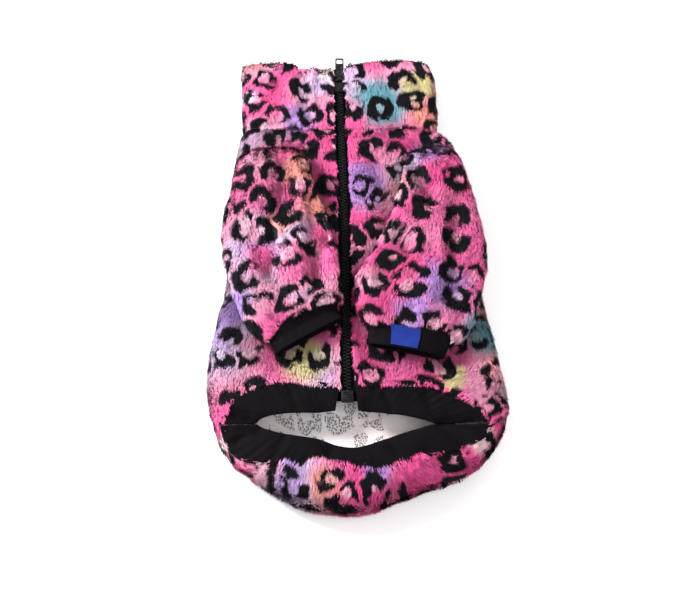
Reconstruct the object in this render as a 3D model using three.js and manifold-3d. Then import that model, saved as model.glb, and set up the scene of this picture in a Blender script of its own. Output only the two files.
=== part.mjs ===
// A plush dog coat, laid on its back with the belly and the zip facing up.
// Millimetres. +Z is up from the table, +Y runs from the tail to the collar, +X is the picture's right.
import * as THREE from 'three';
import { mergeVertices } from 'three/addons/utils/BufferGeometryUtils.js';
import Module from 'manifold-3d';

const wasm = await Module();
wasm.setup();

// Thickness of each cloth. Plush and collar count their pile, and the collar is folded double.
const PLUSH = 5;
const COLLAR_WALL = 6;
const BAND_WALL = 2;
const TAPE_WALL = 0.8;
const LABEL_WALL = 0.6;

// Gap between pieces that are sewn together, and under a sleeve that lies on the belly.
const SEAM = 0.3;
const SLEEVE_REST = 0.5;

// The plan is drawn about a point on the zip. This moves its bounding box over the origin.
const PLAN_CENTRE = { x: 6, y: 33.8 };

// The coat lies flattened: low at the collar's top edge, higher at the hem.
const COLLAR_TOP_Y = 262;
const NECK_Y = 180;
const BELLY_HEM_Y = -83;
const COLLAR_TOP_HEIGHT = 24;
const NECK_HEIGHT = 26;
const HEM_HEIGHT = 31;
const HEM_RADIUS = HEM_HEIGHT / 2;

// Zip sizes. The plush stops short of the zip's centre line and lies over the tape.
const ZIP_EDGE = 6.5;
const TAPE_HALF_WIDTH = 10;
const TAPE_INNER = 0.4;
const TAPE_FOOT_Y = -97;
const TAPE_HEAD_Y = 250;
const CHAIN_WIDTH = 6;
const CHAIN_HEIGHT = 2.6;
const CHAIN_FOOT_Y = -88;
const BOX_LENGTH = 10.5;
const BOX_WIDTH = 10.4;
const BOX_HEIGHT = 4.2;
const SLIDER_FOOT_Y = 221;
const SLIDER_LENGTH = 15;
const SLIDER_HEIGHT = 4.2;
const SLIDER_WIDTH = 9.4;
const SLIDER_TAIL_WIDTH = 6.8;
const HINGE_BACK = 2.6;
const HINGE_RISE = 1.5;
const LUG = { x: 2.55, width: 1.1, length: 3.6, above: 1.1 };
const TAB = {
  width: 8.5,
  thick: 1.6,
  start: 3.4,
  end: 25,
  rim: 1.6,
  window: 5,
  neck: 4.2,
  corner: 1.2,
  barrelRadius: 1.2,
  barrelWidth: 4.5,
};

// The slider's outline, in shares of its length and width: widest between two places, then a nose.
const SLIDER_OUTLINE = { widestFrom: 0.6, widestTo: 0.88, noseHalf: 0.36 };

// The zip's centre line, read down the coat.
const ZIP_LINE = [
  { y: 262, x: -11 },
  { y: 214, x: -10 },
  { y: 137, x: -7 },
  { y: 60, x: -4.5 },
  { y: -2, x: -4 },
  { y: -105, x: -2 },
];

// Widest outline of the flattened body, from the neck seam to the hem's corners.
const BODY_SECTIONS = [
  { y: 180, left: -102, right: 81 },
  { y: 171, left: -105, right: 94 },
  { y: 158, left: -107.5, right: 101.5 },
  { y: 138, left: -110, right: 108 },
  { y: 111, left: -111, right: 112 },
  { y: 80, left: -112, right: 116 },
  { y: 54, left: -112, right: 119 },
  { y: 30, left: -111.5, right: 119.5 },
  { y: 8, left: -114, right: 120 },
  { y: -12, left: -118, right: 123 },
  { y: -33, left: -122, right: 127.5 },
  { y: -53, left: -125, right: 131 },
];

// Widest outline of the collar, from the neck seam to its folded top edge.
const COLLAR_SECTIONS = [
  { y: 180, left: -102.5, right: 83 },
  { y: 200, left: -103.5, right: 83.5 },
  { y: 222, left: -104.5, right: 83 },
  { y: 244, left: -105.5, right: 81 },
  { y: 262, left: -104, right: 75 },
];

// Top edge of the collar's front, read across: lobes at the left of the zip, nearly straight at its right.
const COLLAR_FRONT_EDGE = [
  { x: -106, y: 249 },
  { x: -98, y: 254 },
  { x: -72, y: 256 },
  { x: -52, y: 254 },
  { x: -46, y: 243 },
  { x: -40, y: 250 },
  { x: -33, y: 251 },
  { x: -28, y: 247 },
  { x: -20, y: 251 },
  { x: -11, y: 249 },
  { x: 0, y: 254 },
  { x: 22, y: 258 },
  { x: 60, y: 259.5 },
  { x: 72, y: 256 },
  { x: 80, y: 248 },
];
const COLLAR_BACK_EDGE_Y = 262;

// Girths between which the collar's top edge goes from its front line to its back one.
const COLLAR_EDGE_TURN = { front: 1, back: 2.6 };

// Where the plush beside the zip thickens from one cloth to the collar's doubled one.
const COLLAR_WALL_START = 160;
const COLLAR_WALL_FULL = 176;

// Outline of the tail end, from the left hem corner round the bottom to the right one.
const TAIL_OUTLINE = [
  { x: -126, y: -80 },
  { x: -124, y: -96 },
  { x: -120, y: -113 },
  { x: -114, y: -131 },
  { x: -103, y: -149 },
  { x: -84, y: -165 },
  { x: -60, y: -181 },
  { x: -34, y: -192 },
  { x: -8, y: -195.5 },
  { x: 16, y: -194 },
  { x: 42, y: -184 },
  { x: 72, y: -173 },
  { x: 102, y: -162 },
  { x: 121, y: -144 },
  { x: 133, y: -122 },
  { x: 138, y: -101 },
  { x: 136, y: -80 },
];

// Seam between plush and hem band, on the belly at each side of the zip and round the back.
const BELLY_SEAM_LEFT = [
  { x: -8.5, y: -83 },
  { x: -18, y: -83 },
  { x: -36, y: -80 },
  { x: -52, y: -78 },
  { x: -70, y: -79 },
  { x: -89, y: -87 },
  { x: -102, y: -98 },
  { x: -111, y: -119 },
];
const BELLY_SEAM_RIGHT = [
  { x: 4.5, y: -82 },
  { x: 26, y: -81 },
  { x: 46, y: -81 },
  { x: 64, y: -82.5 },
  { x: 82, y: -87 },
  { x: 98, y: -94 },
  { x: 112, y: -104 },
  { x: 123, y: -117 },
];
const BACK_SEAM = [
  { x: -111, y: -119 },
  { x: -105, y: -138 },
  { x: -94, y: -149 },
  { x: -78, y: -153.5 },
  { x: -46, y: -154 },
  { x: -11, y: -155 },
  { x: 8, y: -160 },
  { x: 25, y: -162 },
  { x: 46, y: -154 },
  { x: 72, y: -145 },
  { x: 98, y: -138 },
  { x: 115, y: -129 },
  { x: 123, y: -117 },
];

// Free edge of the hem band, which frames the mouth.
const MOUTH_LEFT = [
  { x: -12.5, y: -105 },
  { x: -29, y: -107 },
  { x: -47, y: -107 },
  { x: -65, y: -109 },
  { x: -77, y: -113 },
  { x: -82, y: -117.5 },
];
const MOUTH_RIGHT = [
  { x: 7, y: -105 },
  { x: 25, y: -107 },
  { x: 43, y: -109 },
  { x: 61, y: -113 },
  { x: 75, y: -117.5 },
];
const MOUTH_BACK = [
  { x: -82, y: -117.5 },
  { x: -66, y: -125 },
  { x: -47, y: -129 },
  { x: -29, y: -132 },
  { x: -11, y: -138 },
  { x: 3, y: -140 },
  { x: 14, y: -138 },
  { x: 27, y: -133.5 },
  { x: 45, y: -127 },
  { x: 62, y: -121.5 },
  { x: 75, y: -117.5 },
];
const MOUTH_HEIGHT = 28;
const BAND_BELOW_PILE = 1.5;
const BAND_GAP = 0.6;
const BAND_END_GAP = 0.35;

// The hem's rings. Start: where the side seam meets the tail outline, as a share of its length.
// Spread: how far the ring's rounded sides have opened along the outline. Roll: how far under the
// outline the back still lies. Reach: its way back over the top to the band. Belly: the belly's way.
const HEM_RINGS = [
  { start: 0, spread: 0, roll: 90, reach: 0, belly: 0 },
  { start: 0.015, spread: 0.5, roll: 45, reach: 0, belly: 0.15 },
  { start: 0.03, spread: 1, roll: 0, reach: 0, belly: 0.3 },
  { start: 0.045, spread: 1, roll: 0, reach: 0.1, belly: 0.45 },
  { start: 0.06, spread: 1, roll: 0, reach: 0.28, belly: 0.6 },
  { start: 0.08, spread: 1, roll: 0, reach: 0.55, belly: 0.8 },
  { start: 0.1, spread: 1, roll: 0, reach: 1, belly: 1 },
];
const BELLY_RUNOUT_Y = -64;
const SIDE_SHARE = 0.08;
const BELLY_FLAT_SHARE = 0.82;

// Sleeves: the edge away from the zip, the edge beside it, the tube's height, and how far it has
// folded down from its armhole, 0 where it stands on the belly and 90 where it lies.
const SLEEVE_LEFT = [
  { farX: -103, farY: 139, nearX: -42, nearY: 142, height: 31, fold: 0 },
  { farX: -105, farY: 129, nearX: -38, nearY: 132, height: 29, fold: 45 },
  { farX: -108, farY: 114, nearX: -34, nearY: 115, height: 28, fold: 75 },
  { farX: -111, farY: 97, nearX: -29, nearY: 97, height: 27, fold: 90 },
  { farX: -116, farY: 68, nearX: -20, nearY: 70, height: 28, fold: 90 },
  { farX: -115, farY: 40, nearX: -13, nearY: 46, height: 28, fold: 90 },
  { farX: -109, farY: 10, nearX: -9, nearY: 21, height: 26, fold: 90 },
  { farX: -101, farY: -12, nearX: -7, nearY: 3, height: 25, fold: 90 },
  { farX: -92, farY: -32, nearX: -6, nearY: -7, height: 22, fold: 90 },
  { farX: -81, farY: -45, nearX: -9, nearY: -12, height: 18, fold: 90 },
  { farX: -70, farY: -49, nearX: -11, nearY: -13.5, height: 15, fold: 90 },
];
const SLEEVE_RIGHT = [
  { farX: 99, farY: 144, nearX: 55, nearY: 141, height: 31, fold: 0 },
  { farX: 103, farY: 133, nearX: 51, nearY: 129, height: 29, fold: 45 },
  { farX: 108, farY: 117, nearX: 46, nearY: 113, height: 28, fold: 75 },
  { farX: 113, farY: 98, nearX: 42, nearY: 97, height: 26, fold: 90 },
  { farX: 119, farY: 68, nearX: 34, nearY: 68, height: 27, fold: 90 },
  { farX: 123, farY: 40, nearX: 20, nearY: 40, height: 27, fold: 90 },
  { farX: 121, farY: 16, nearX: 7, nearY: 18, height: 26, fold: 90 },
  { farX: 115, farY: -9, nearX: 4, nearY: -7, height: 25, fold: 90 },
  { farX: 109, farY: -30, nearX: 8, nearY: -25, height: 22, fold: 90 },
  { farX: 101, farY: -43, nearX: 12, nearY: -33, height: 18, fold: 90 },
  { farX: 88, farY: -51, nearX: 14, nearY: -35.5, height: 15, fold: 90 },
];
const CUFF_LEFT = { farX: -65, farY: -60, nearX: -6, nearY: -25.5, height: 12 };
const CUFF_RIGHT = { farX: 82, farY: -60.5, nearX: 16, nearY: -48, height: 12 };
const CUFF_INSET = 1.5;
const TUBE_SQUARENESS = 2.6;

// The armhole is an oval a little inside the sleeve's root, cut down through the belly from its foot.
const ARMHOLE = { margin: 1, foot: 16, segments: 10 };

// The bare woven label on the right cuff: its span across the cuff from the near edge, in shares.
const LABEL = { from: 0.29, to: 0.64, top: 0.03, bottom: 0.97, gap: 0.5 };

// Main folds. Each is a soft trough from one point to another on top of a piece.
const BELLY_FOLDS = [
  { x1: 20, y1: 152, x2: 33, y2: 98, depth: 3, width: 8 },
  { x1: -100, y1: -40, x2: -58, y2: -66, depth: 3, width: 9 },
  { x1: 70, y1: -66, x2: 118, y2: -56, depth: 4, width: 8 },
  { x1: 20, y1: -60, x2: 52, y2: -70, depth: 2.5, width: 8 },
];
const COLLAR_FOLDS = [
  { x1: -48, y1: 254, x2: -44, y2: 200, depth: 4.5, width: 6 },
  { x1: -31, y1: 250, x2: -30, y2: 205, depth: 3.5, width: 4.5 },
  { x1: 34, y1: 240, x2: 44, y2: 190, depth: 2.5, width: 8 },
];
const LEFT_SLEEVE_FOLDS = [
  { x1: -66, y1: 140, x2: -54, y2: 78, depth: 8, width: 9 },
  { x1: -36, y1: 90, x2: -29, y2: 5, depth: 6, width: 8 },
  { x1: -86, y1: 52, x2: -62, y2: -8, depth: 5, width: 9 },
];
const RIGHT_SLEEVE_FOLDS = [
  { x1: 56, y1: 132, x2: 74, y2: 88, depth: 6, width: 8 },
  { x1: 44, y1: 70, x2: 34, y2: 12, depth: 5, width: 9 },
  { x1: 94, y1: 84, x2: 88, y2: -6, depth: 5, width: 10 },
];

// How finely each piece is drawn.
const FLAT_STEPS = 7;
const SIDE_STEPS = 3;
const BACK_STEPS = 13;
const SECTION_STEPS = 2;
const TUBE_STEPS = 22;
const SLEEVE_STEPS = 2;
const CUFF_STEPS = 3;
const BAND_STEPS = 4;
const LABEL_STEPS = 8;
const COLLAR_STEPS = { rows: 6, left: 10, side: 5, back: 8, right: 8 };
const ZIP_STEP = 16;

// Main colour of each piece.
const COLOURS = {
  back: 0xb56c9c,
  bellyLeft: 0xc873a8,
  bellyRight: 0xc06ea6,
  collar: 0xb07fae,
  sleeveLeft: 0xd26ea6,
  sleeveRight: 0xc97bb4,
  band: 0x0d0c10,
  zip: 0x111214,
  label: 0x1d4fa8,
};

const { lerp, clamp, smoothstep, degToRad } = THREE.MathUtils;
const QUARTER = Math.PI / 2;

// Value of one column of a table at a place on another, straight between its rows.
function columnAt(table, key, at, column) {
  const falling = table[0][key] > table[table.length - 1][key];
  const rows = falling ? [...table].reverse() : table;
  let i = 1;
  while (i < rows.length - 1 && rows[i][key] < at) {
    i += 1;
  }
  const share = (at - rows[i - 1][key]) / (rows[i][key] - rows[i - 1][key]);
  return lerp(rows[i - 1][column], rows[i][column], clamp(share, 0, 1));
}

function zipX(y) {
  return columnAt(ZIP_LINE, 'y', y, 'x');
}

// Height of the flattened coat at a place along its length.
function heightAt(y) {
  if (y > NECK_Y) {
    return lerp(NECK_HEIGHT, COLLAR_TOP_HEIGHT, (y - NECK_Y) / (COLLAR_TOP_Y - NECK_Y));
  }
  return lerp(NECK_HEIGHT, HEM_HEIGHT, (NECK_Y - y) / (NECK_Y - BELLY_HEM_Y));
}

// Depth of a table of folds at a point of the plan, as a negative height.
function foldAt(folds, x, y) {
  let depth = 0;
  for (const fold of folds) {
    const along = new THREE.Vector2(fold.x2 - fold.x1, fold.y2 - fold.y1);
    const from = new THREE.Vector2(x - fold.x1, y - fold.y1);
    const share = from.dot(along) / along.lengthSq();
    const near = along.clone().multiplyScalar(clamp(share, 0, 1));
    const distance = from.distanceTo(near);
    depth += fold.depth * Math.exp(-((distance / fold.width) ** 2));
  }
  return -depth;
}

function curveThrough(points) {
  const path = points.map(({ x, y }) => new THREE.Vector3(x, y, 0));
  return new THREE.CatmullRomCurve3(path, false, 'centripetal');
}

const tailOutline = curveThrough(TAIL_OUTLINE);
const backSeam = curveThrough(BACK_SEAM);
const mouthBack = curveThrough(MOUTH_BACK);
const SIDES = {
  left: {
    sign: -1,
    edge: 'left',
    corner: TAIL_OUTLINE[0],
    bellySeam: curveThrough(BELLY_SEAM_LEFT),
    mouth: curveThrough(MOUTH_LEFT),
  },
  right: {
    sign: 1,
    edge: 'right',
    corner: TAIL_OUTLINE[TAIL_OUTLINE.length - 1],
    bellySeam: curveThrough(BELLY_SEAM_RIGHT),
    mouth: curveThrough(MOUTH_RIGHT),
  },
};

// Girth runs round the coat from 0 at the zip's left edge to 7 at its right edge:
// 0 to 1 flat belly, 1 to 2 rounded side down to the side seam, 2 to 3 rounded side under it,
// 3 to 4 the back flat on the table, and 4 to 7 the same at the right.
const SEAM_LEFT = 2;
const SEAM_RIGHT = 5;
const GIRTH_END = 7;

function mirrorGirth(girth) {
  if (girth <= GIRTH_END / 2) {
    return { side: SIDES.left, turn: girth };
  }
  return { side: SIDES.right, turn: GIRTH_END - girth };
}

// A ring of the flattened tube at one length, as a point on its face and the way into the cloth.
function sectionRing(section, girth) {
  const { side, turn } = mirrorGirth(girth);
  const { y } = section;
  const height = heightAt(y);
  const radius = height / 2;
  const edge = section[side.edge];
  const flatEnd = edge - side.sign * radius;
  if (girth > 3 && girth < 4) {
    const x = lerp(section.left + radius, section.right - radius, girth - 3);
    return { point: new THREE.Vector3(x, y, 0), inward: new THREE.Vector3(0, 0, 1) };
  }
  if (turn <= 1) {
    const x = lerp(zipX(y) + side.sign * ZIP_EDGE, flatEnd, turn);
    return { point: new THREE.Vector3(x, y, height), inward: new THREE.Vector3(0, 0, -1) };
  }
  const angle = (turn - 1) * QUARTER;
  const x = flatEnd + side.sign * radius * Math.sin(angle);
  return {
    point: new THREE.Vector3(x, y, radius + radius * Math.cos(angle)),
    inward: new THREE.Vector3(-side.sign * Math.sin(angle), 0, -Math.cos(angle)),
  };
}

// Share of the tail outline at a girth, with the rounded sides opened by the ring's spread.
function tailShare(girth, spread) {
  const side = SIDE_SHARE * spread;
  if (girth < 3) {
    return side * (girth - SEAM_LEFT);
  }
  if (girth > 4) {
    return 1 - side * (SEAM_RIGHT - girth);
  }
  return lerp(side, 1 - side, girth - 3);
}

// The back panel in a hem ring: under the outline, on it, or rolled over towards the band.
function tailRing(ring, girth) {
  const share = lerp(ring.start, 1 - ring.start, tailShare(girth, ring.spread));
  const outline = tailOutline.getPointAt(share);
  if (ring.reach > 0) {
    const across = backSeam.getPointAt(tailShare(girth, 1)).sub(outline);
    const distance = ring.reach * across.length();
    const cosine = clamp((HEM_RADIUS - distance) / HEM_RADIUS, 0, 1);
    const sine = Math.sqrt(1 - cosine ** 2);
    const inwards = across.normalize();
    const point = outline.addScaledVector(inwards, distance);
    point.z = HEM_RADIUS * (1 + sine);
    return { point, inward: inwards.multiplyScalar(cosine).setZ(-sine) };
  }
  const tangent = tailOutline.getTangentAt(share);
  const inwards = new THREE.Vector3(-tangent.y, tangent.x, 0);
  const toFlat = clamp(Math.min(girth - SEAM_LEFT, SEAM_RIGHT - girth), 0, 1);
  const under = degToRad(ring.roll) * toFlat;
  const point = outline.addScaledVector(inwards, HEM_RADIUS * (1 - Math.cos(under)));
  point.z = HEM_RADIUS * (1 - Math.sin(under));
  return { point, inward: inwards.multiplyScalar(Math.cos(under)).setZ(Math.sin(under)) };
}

// The belly where it runs out towards the hem, and where it ends at the band.
function bellyRunout(side, turn) {
  const y = lerp(BELLY_RUNOUT_Y, side.corner.y, turn / 2);
  const flatEnd = side.corner.x - side.sign * HEM_RADIUS;
  if (turn <= 1) {
    const x = lerp(zipX(y) + side.sign * ZIP_EDGE, flatEnd, turn);
    return { point: new THREE.Vector3(x, y, heightAt(y)), inward: new THREE.Vector3(0, 0, -1) };
  }
  const angle = (turn - 1) * QUARTER;
  const x = flatEnd + side.sign * HEM_RADIUS * Math.sin(angle);
  const z = HEM_RADIUS * (1 + Math.cos(angle));
  return {
    point: new THREE.Vector3(x, y, z),
    inward: new THREE.Vector3(-side.sign * Math.sin(angle), 0, -Math.cos(angle)),
  };
}

function bellyEnd(side, turn) {
  const share = turn <= 1 ? BELLY_FLAT_SHARE * turn : lerp(BELLY_FLAT_SHARE, 1, turn - 1);
  const point = side.bellySeam.getPointAt(share);
  point.z = heightAt(point.y);
  return { point, inward: new THREE.Vector3(0, 0, -1) };
}

// A hem ring all round: the tail's part, and a belly part that meets it at both side seams.
function hemRing(ring, girth) {
  const { side, turn } = mirrorGirth(girth);
  if (turn >= SEAM_LEFT) {
    return tailRing(ring, girth);
  }
  const blend = (at) => {
    const start = bellyRunout(side, at);
    const end = bellyEnd(side, at);
    return {
      point: start.point.lerp(end.point, ring.belly),
      inward: start.inward.lerp(end.inward, ring.belly),
    };
  };
  const seam = tailRing(ring, side === SIDES.left ? SEAM_LEFT : SEAM_RIGHT);
  const ownSeam = blend(SEAM_LEFT);
  const here = blend(turn);
  const pull = Math.max(0, turn - 1) ** 2;
  here.point.addScaledVector(seam.point.sub(ownSeam.point), pull);
  here.inward.addScaledVector(seam.inward.sub(ownSeam.inward), pull).normalize();
  return here;
}

const BODY_RINGS = [
  ...BODY_SECTIONS.map((section) => (girth) => sectionRing(section, girth)),
  ...HEM_RINGS.map((ring) => (girth) => hemRing(ring, girth)),
];
const BODY_ROWS = [];
for (let ring = 0; ring < BODY_SECTIONS.length - 1; ring += 1) {
  for (let step = 0; step < SECTION_STEPS; step += 1) {
    BODY_ROWS.push(ring + step / SECTION_STEPS);
  }
}
for (let ring = BODY_SECTIONS.length - 1; ring < BODY_RINGS.length; ring += 1) {
  BODY_ROWS.push(ring);
}

// How much of a fold reaches a girth: all of it on the flat belly, none under the side seam.
function foldShare(girth) {
  const { turn } = mirrorGirth(girth);
  return turn <= 1 ? 1 : Math.max(0, Math.cos((turn - 1) * QUARTER));
}

// Rows of points on the body at a depth under its face.
function bodyGrid(girths, depth) {
  const columns = girths.map((girth) => {
    const points = BODY_RINGS.map((ring, i) => {
      const { point, inward } = ring(girth);
      if (i === 0) {
        point.y -= SEAM / 2;
      }
      return point.addScaledVector(inward, depth);
    });
    const curve = new THREE.CatmullRomCurve3(points, false, 'centripetal');
    return BODY_ROWS.map((row) => {
      const point = curve.getPoint(row / (BODY_RINGS.length - 1));
      point.z += foldAt(BELLY_FOLDS, point.x, point.y) * foldShare(girth);
      return point;
    });
  });
  return BODY_ROWS.map((_, row) => columns.map((column) => column[row]));
}

// Rows of points on the collar at a depth under its face.
function collarGrid(girths, rows, depth) {
  return rows.map((row) => girths.map((girth) => {
    const { turn } = mirrorGirth(girth);
    const start = NECK_Y + SEAM / 2;
    const reachX = sectionRing(sectionAt(COLLAR_SECTIONS, COLLAR_TOP_Y), girth).point.x;
    const front = columnAt(COLLAR_FRONT_EDGE, 'x', reachX, 'y');
    const toBack = smoothstep(turn, COLLAR_EDGE_TURN.front, COLLAR_EDGE_TURN.back);
    const top = lerp(front, COLLAR_BACK_EDGE_Y, toBack);
    const y = lerp(start, top - COLLAR_WALL / 2, row);
    const { point, inward } = sectionRing(sectionAt(COLLAR_SECTIONS, y), girth);
    point.z += foldAt(COLLAR_FOLDS, point.x, y) * foldShare(girth);
    return point.addScaledVector(inward, depth);
  }));
}

function sectionAt(table, y) {
  return { y, left: columnAt(table, 'y', y, 'left'), right: columnAt(table, 'y', y, 'right') };
}

// Top of the belly under a sleeve. Near the armhole it follows the rounded side.
function bellyTop(x, y, lying) {
  const flat = heightAt(y) + foldAt(BELLY_FOLDS, x, y);
  const radius = heightAt(y) / 2;
  const { left, right } = sectionAt(BODY_SECTIONS, y);
  const inside = clamp(Math.min(x - left, right - x), 0, radius);
  const fall = radius - Math.sqrt(radius ** 2 - (radius - inside) ** 2);
  return flat - fall * (1 - lying);
}

function rounded(value) {
  return Math.sign(value) * Math.abs(value) ** (2 / TUBE_SQUARENESS);
}

// One point of a flattened tube that lies on the belly, inset by a depth into its wall.
function tubePoint(row, angle, depth, folds) {
  const far = new THREE.Vector3(row.farX, row.farY, 0);
  const near = new THREE.Vector3(row.nearX, row.nearY, 0);
  const across = far.clone().sub(near);
  const halfWidth = across.length() / 2;
  across.normalize();
  const down = new THREE.Vector3(across.y, -across.x, 0);
  down.multiplyScalar(Math.sign(-down.y));
  const fold = degToRad(row.fold);
  const rise = rounded(Math.sin(angle));
  const halfHeight = row.height / 2;
  const point = far.add(near).multiplyScalar(0.5);
  point.addScaledVector(across, (halfWidth - depth) * rounded(Math.cos(angle)));
  point.addScaledVector(down, -Math.cos(fold) * (halfHeight - depth) * rise);
  const lying = Math.sin(fold);
  const lift = lying * (depth + (halfHeight - depth) * (1 + rise));
  const crease = foldAt(folds, point.x, point.y) * lying * clamp(rise, 0, 1);
  point.z = bellyTop(point.x, point.y, lying) + SLEEVE_REST + lift + crease + (row.lift ?? 0);
  return point;
}

function tubeGrid(rows, depth, folds) {
  const angles = Array.from({ length: TUBE_STEPS }, (_, i) => (i / TUBE_STEPS) * 2 * Math.PI);
  return rows.map((row) => angles.map((angle) => tubePoint(row, angle, depth, folds)));
}

// Rows between the rows of a table, every column on a smooth curve.
function refineRows(table, steps) {
  const names = Object.keys(table[0]);
  const rows = [];
  for (let i = 0; i < table.length - 1; i += 1) {
    for (let step = 0; step < steps; step += 1) {
      const row = {};
      for (const name of names) {
        const before = table[Math.max(0, i - 1)][name];
        const after = table[Math.min(table.length - 1, i + 2)][name];
        row[name] = between(before, table[i][name], table[i + 1][name], after, step / steps);
      }
      rows.push(row);
    }
  }
  rows.push({ ...table[table.length - 1] });
  return rows;
}

function between(before, start, end, after, share) {
  const slopeIn = (end - before) / 2;
  const slopeOut = (after - start) / 2;
  const square = share ** 2;
  const cube = share ** 3;
  return (2 * cube - 3 * square + 1) * start + (cube - 2 * square + share) * slopeIn
    + (3 * square - 2 * cube) * end + (cube - square) * slopeOut;
}

// A cloth wall between a grid of face points and the same grid moved into the cloth. With round
// set its columns close into a tube, and a nose row rounds its last edge.
function clothWall(outer, inner, { round = false, nose = null } = {}) {
  const rows = outer.length;
  const columns = outer[0].length;
  const points = [...outer.flat(), ...inner.flat(), ...(nose ?? [])];
  const face = (row, column) => row * columns + (column % columns);
  const back = (row, column) => rows * columns + face(row, column);
  const tip = (column) => 2 * rows * columns + (column % columns);
  const index = [];
  const quad = (a, b, c, d) => index.push(a, b, c, a, c, d);
  const spans = round ? columns : columns - 1;
  for (let column = 0; column < spans; column += 1) {
    const next = column + 1;
    for (let row = 0; row < rows - 1; row += 1) {
      quad(face(row, column), face(row, next), face(row + 1, next), face(row + 1, column));
      quad(back(row, column), back(row + 1, column), back(row + 1, next), back(row, next));
    }
    quad(face(0, next), face(0, column), back(0, column), back(0, next));
    const last = rows - 1;
    if (nose) {
      quad(face(last, column), face(last, next), tip(next), tip(column));
      quad(tip(column), tip(next), back(last, next), back(last, column));
    } else {
      quad(face(last, column), face(last, next), back(last, next), back(last, column));
    }
  }
  if (!round) {
    for (let row = 0; row < rows - 1; row += 1) {
      quad(face(row, 0), face(row + 1, 0), back(row + 1, 0), back(row, 0));
      const end = columns - 1;
      quad(face(row, end), back(row, end), back(row + 1, end), face(row + 1, end));
    }
    if (nose) {
      const last = rows - 1;
      index.push(face(last, 0), tip(0), back(last, 0));
      index.push(face(last, columns - 1), back(last, columns - 1), tip(columns - 1));
    }
  }
  const geometry = new THREE.BufferGeometry();
  const numbers = points.flatMap((point) => [point.x, point.y, point.z]);
  geometry.setAttribute('position', new THREE.Float32BufferAttribute(numbers, 3));
  geometry.setIndex(index);
  return facingOut(geometry);
}

// Turns every triangle round if a closed shape was wound inside out.
function facingOut(geometry) {
  const position = geometry.getAttribute('position');
  const index = geometry.getIndex();
  const corners = [new THREE.Vector3(), new THREE.Vector3(), new THREE.Vector3()];
  let volume = 0;
  for (let i = 0; i < index.count; i += 3) {
    corners.forEach((corner, j) => corner.fromBufferAttribute(position, index.getX(i + j)));
    volume += corners[0].dot(corners[1].clone().cross(corners[2]));
  }
  if (volume < 0) {
    for (let i = 0; i < index.count; i += 3) {
      const second = index.getX(i + 1);
      index.setX(i + 1, index.getX(i + 2));
      index.setX(i + 2, second);
    }
  }
  return geometry;
}

// Joins and cuts, for the armholes and the zip's slider.
function toSolid(geometry) {
  const bare = geometry.clone();
  bare.deleteAttribute('normal');
  bare.deleteAttribute('uv');
  const merged = mergeVertices(bare, 1e-4);
  return new wasm.Manifold(new wasm.Mesh({
    numProp: 3,
    vertProperties: new Float32Array(merged.getAttribute('position').array),
    triVerts: new Uint32Array(merged.getIndex().array),
  }));
}

function toGeometry(solid) {
  const mesh = solid.getMesh();
  const geometry = new THREE.BufferGeometry();
  geometry.setAttribute('position', new THREE.BufferAttribute(new Float32Array(mesh.vertProperties), 3));
  geometry.setIndex(new THREE.BufferAttribute(new Uint32Array(mesh.triVerts), 1));
  return geometry;
}

function steps(from, to, count) {
  return Array.from({ length: count + 1 }, (_, i) => lerp(from, to, i / count));
}

const coat = new THREE.Group();
const laid = new THREE.Group();
laid.position.set(-PLAN_CENTRE.x, -PLAN_CENTRE.y, 0);
coat.add(laid);

function piece(name, geometry, color, roughness = 0.95, metalness = 0) {
  geometry.computeVertexNormals();
  const mesh = new THREE.Mesh(geometry, new THREE.MeshStandardMaterial({ color, roughness, metalness }));
  mesh.name = name;
  laid.add(mesh);
}

// Half a seam gap, as girth on a rounded side, with a little spare where the sides are lower.
const SEAM_GIRTH_SPARE = 0.003;
const SEAM_GIRTH = SEAM / 2 / (HEM_RADIUS * QUARTER) + SEAM_GIRTH_SPARE;
const GIRTHS = {
  bellyLeft: [...steps(0, 1, FLAT_STEPS), ...steps(1, SEAM_LEFT - SEAM_GIRTH, SIDE_STEPS).slice(1)],
  back: [
    ...steps(SEAM_LEFT + SEAM_GIRTH, 3, SIDE_STEPS).slice(0, -1),
    ...steps(3, 4, BACK_STEPS),
    ...steps(4, SEAM_RIGHT - SEAM_GIRTH, SIDE_STEPS).slice(1),
  ],
  bellyRight: [...steps(SEAM_RIGHT + SEAM_GIRTH, 6, SIDE_STEPS), ...steps(6, GIRTH_END, FLAT_STEPS).slice(1)],
};

// The hole in the belly under a sleeve's root.
function armhole(root) {
  const far = new THREE.Vector2(root.farX, root.farY);
  const near = new THREE.Vector2(root.nearX, root.nearY);
  const halfWidth = far.distanceTo(near) / 2 - PLUSH - ARMHOLE.margin;
  const halfDepth = root.height / 2 - PLUSH - ARMHOLE.margin;
  const shape = new THREE.Shape();
  shape.absellipse(0, 0, halfWidth, halfDepth, 0, 2 * Math.PI);
  const prism = new THREE.ExtrudeGeometry(shape, {
    depth: NECK_HEIGHT,
    bevelEnabled: false,
    curveSegments: ARMHOLE.segments,
  });
  prism.rotateZ(Math.atan2(far.y - near.y, far.x - near.x));
  const middle = far.add(near).multiplyScalar(0.5);
  prism.translate(middle.x, middle.y, ARMHOLE.foot);
  return toSolid(prism);
}

function bellyPanel(name, girths, root, color) {
  const panel = toSolid(clothWall(bodyGrid(girths, 0), bodyGrid(girths, PLUSH)));
  piece(name, toGeometry(panel.subtract(armhole(root))), color);
}

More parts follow.
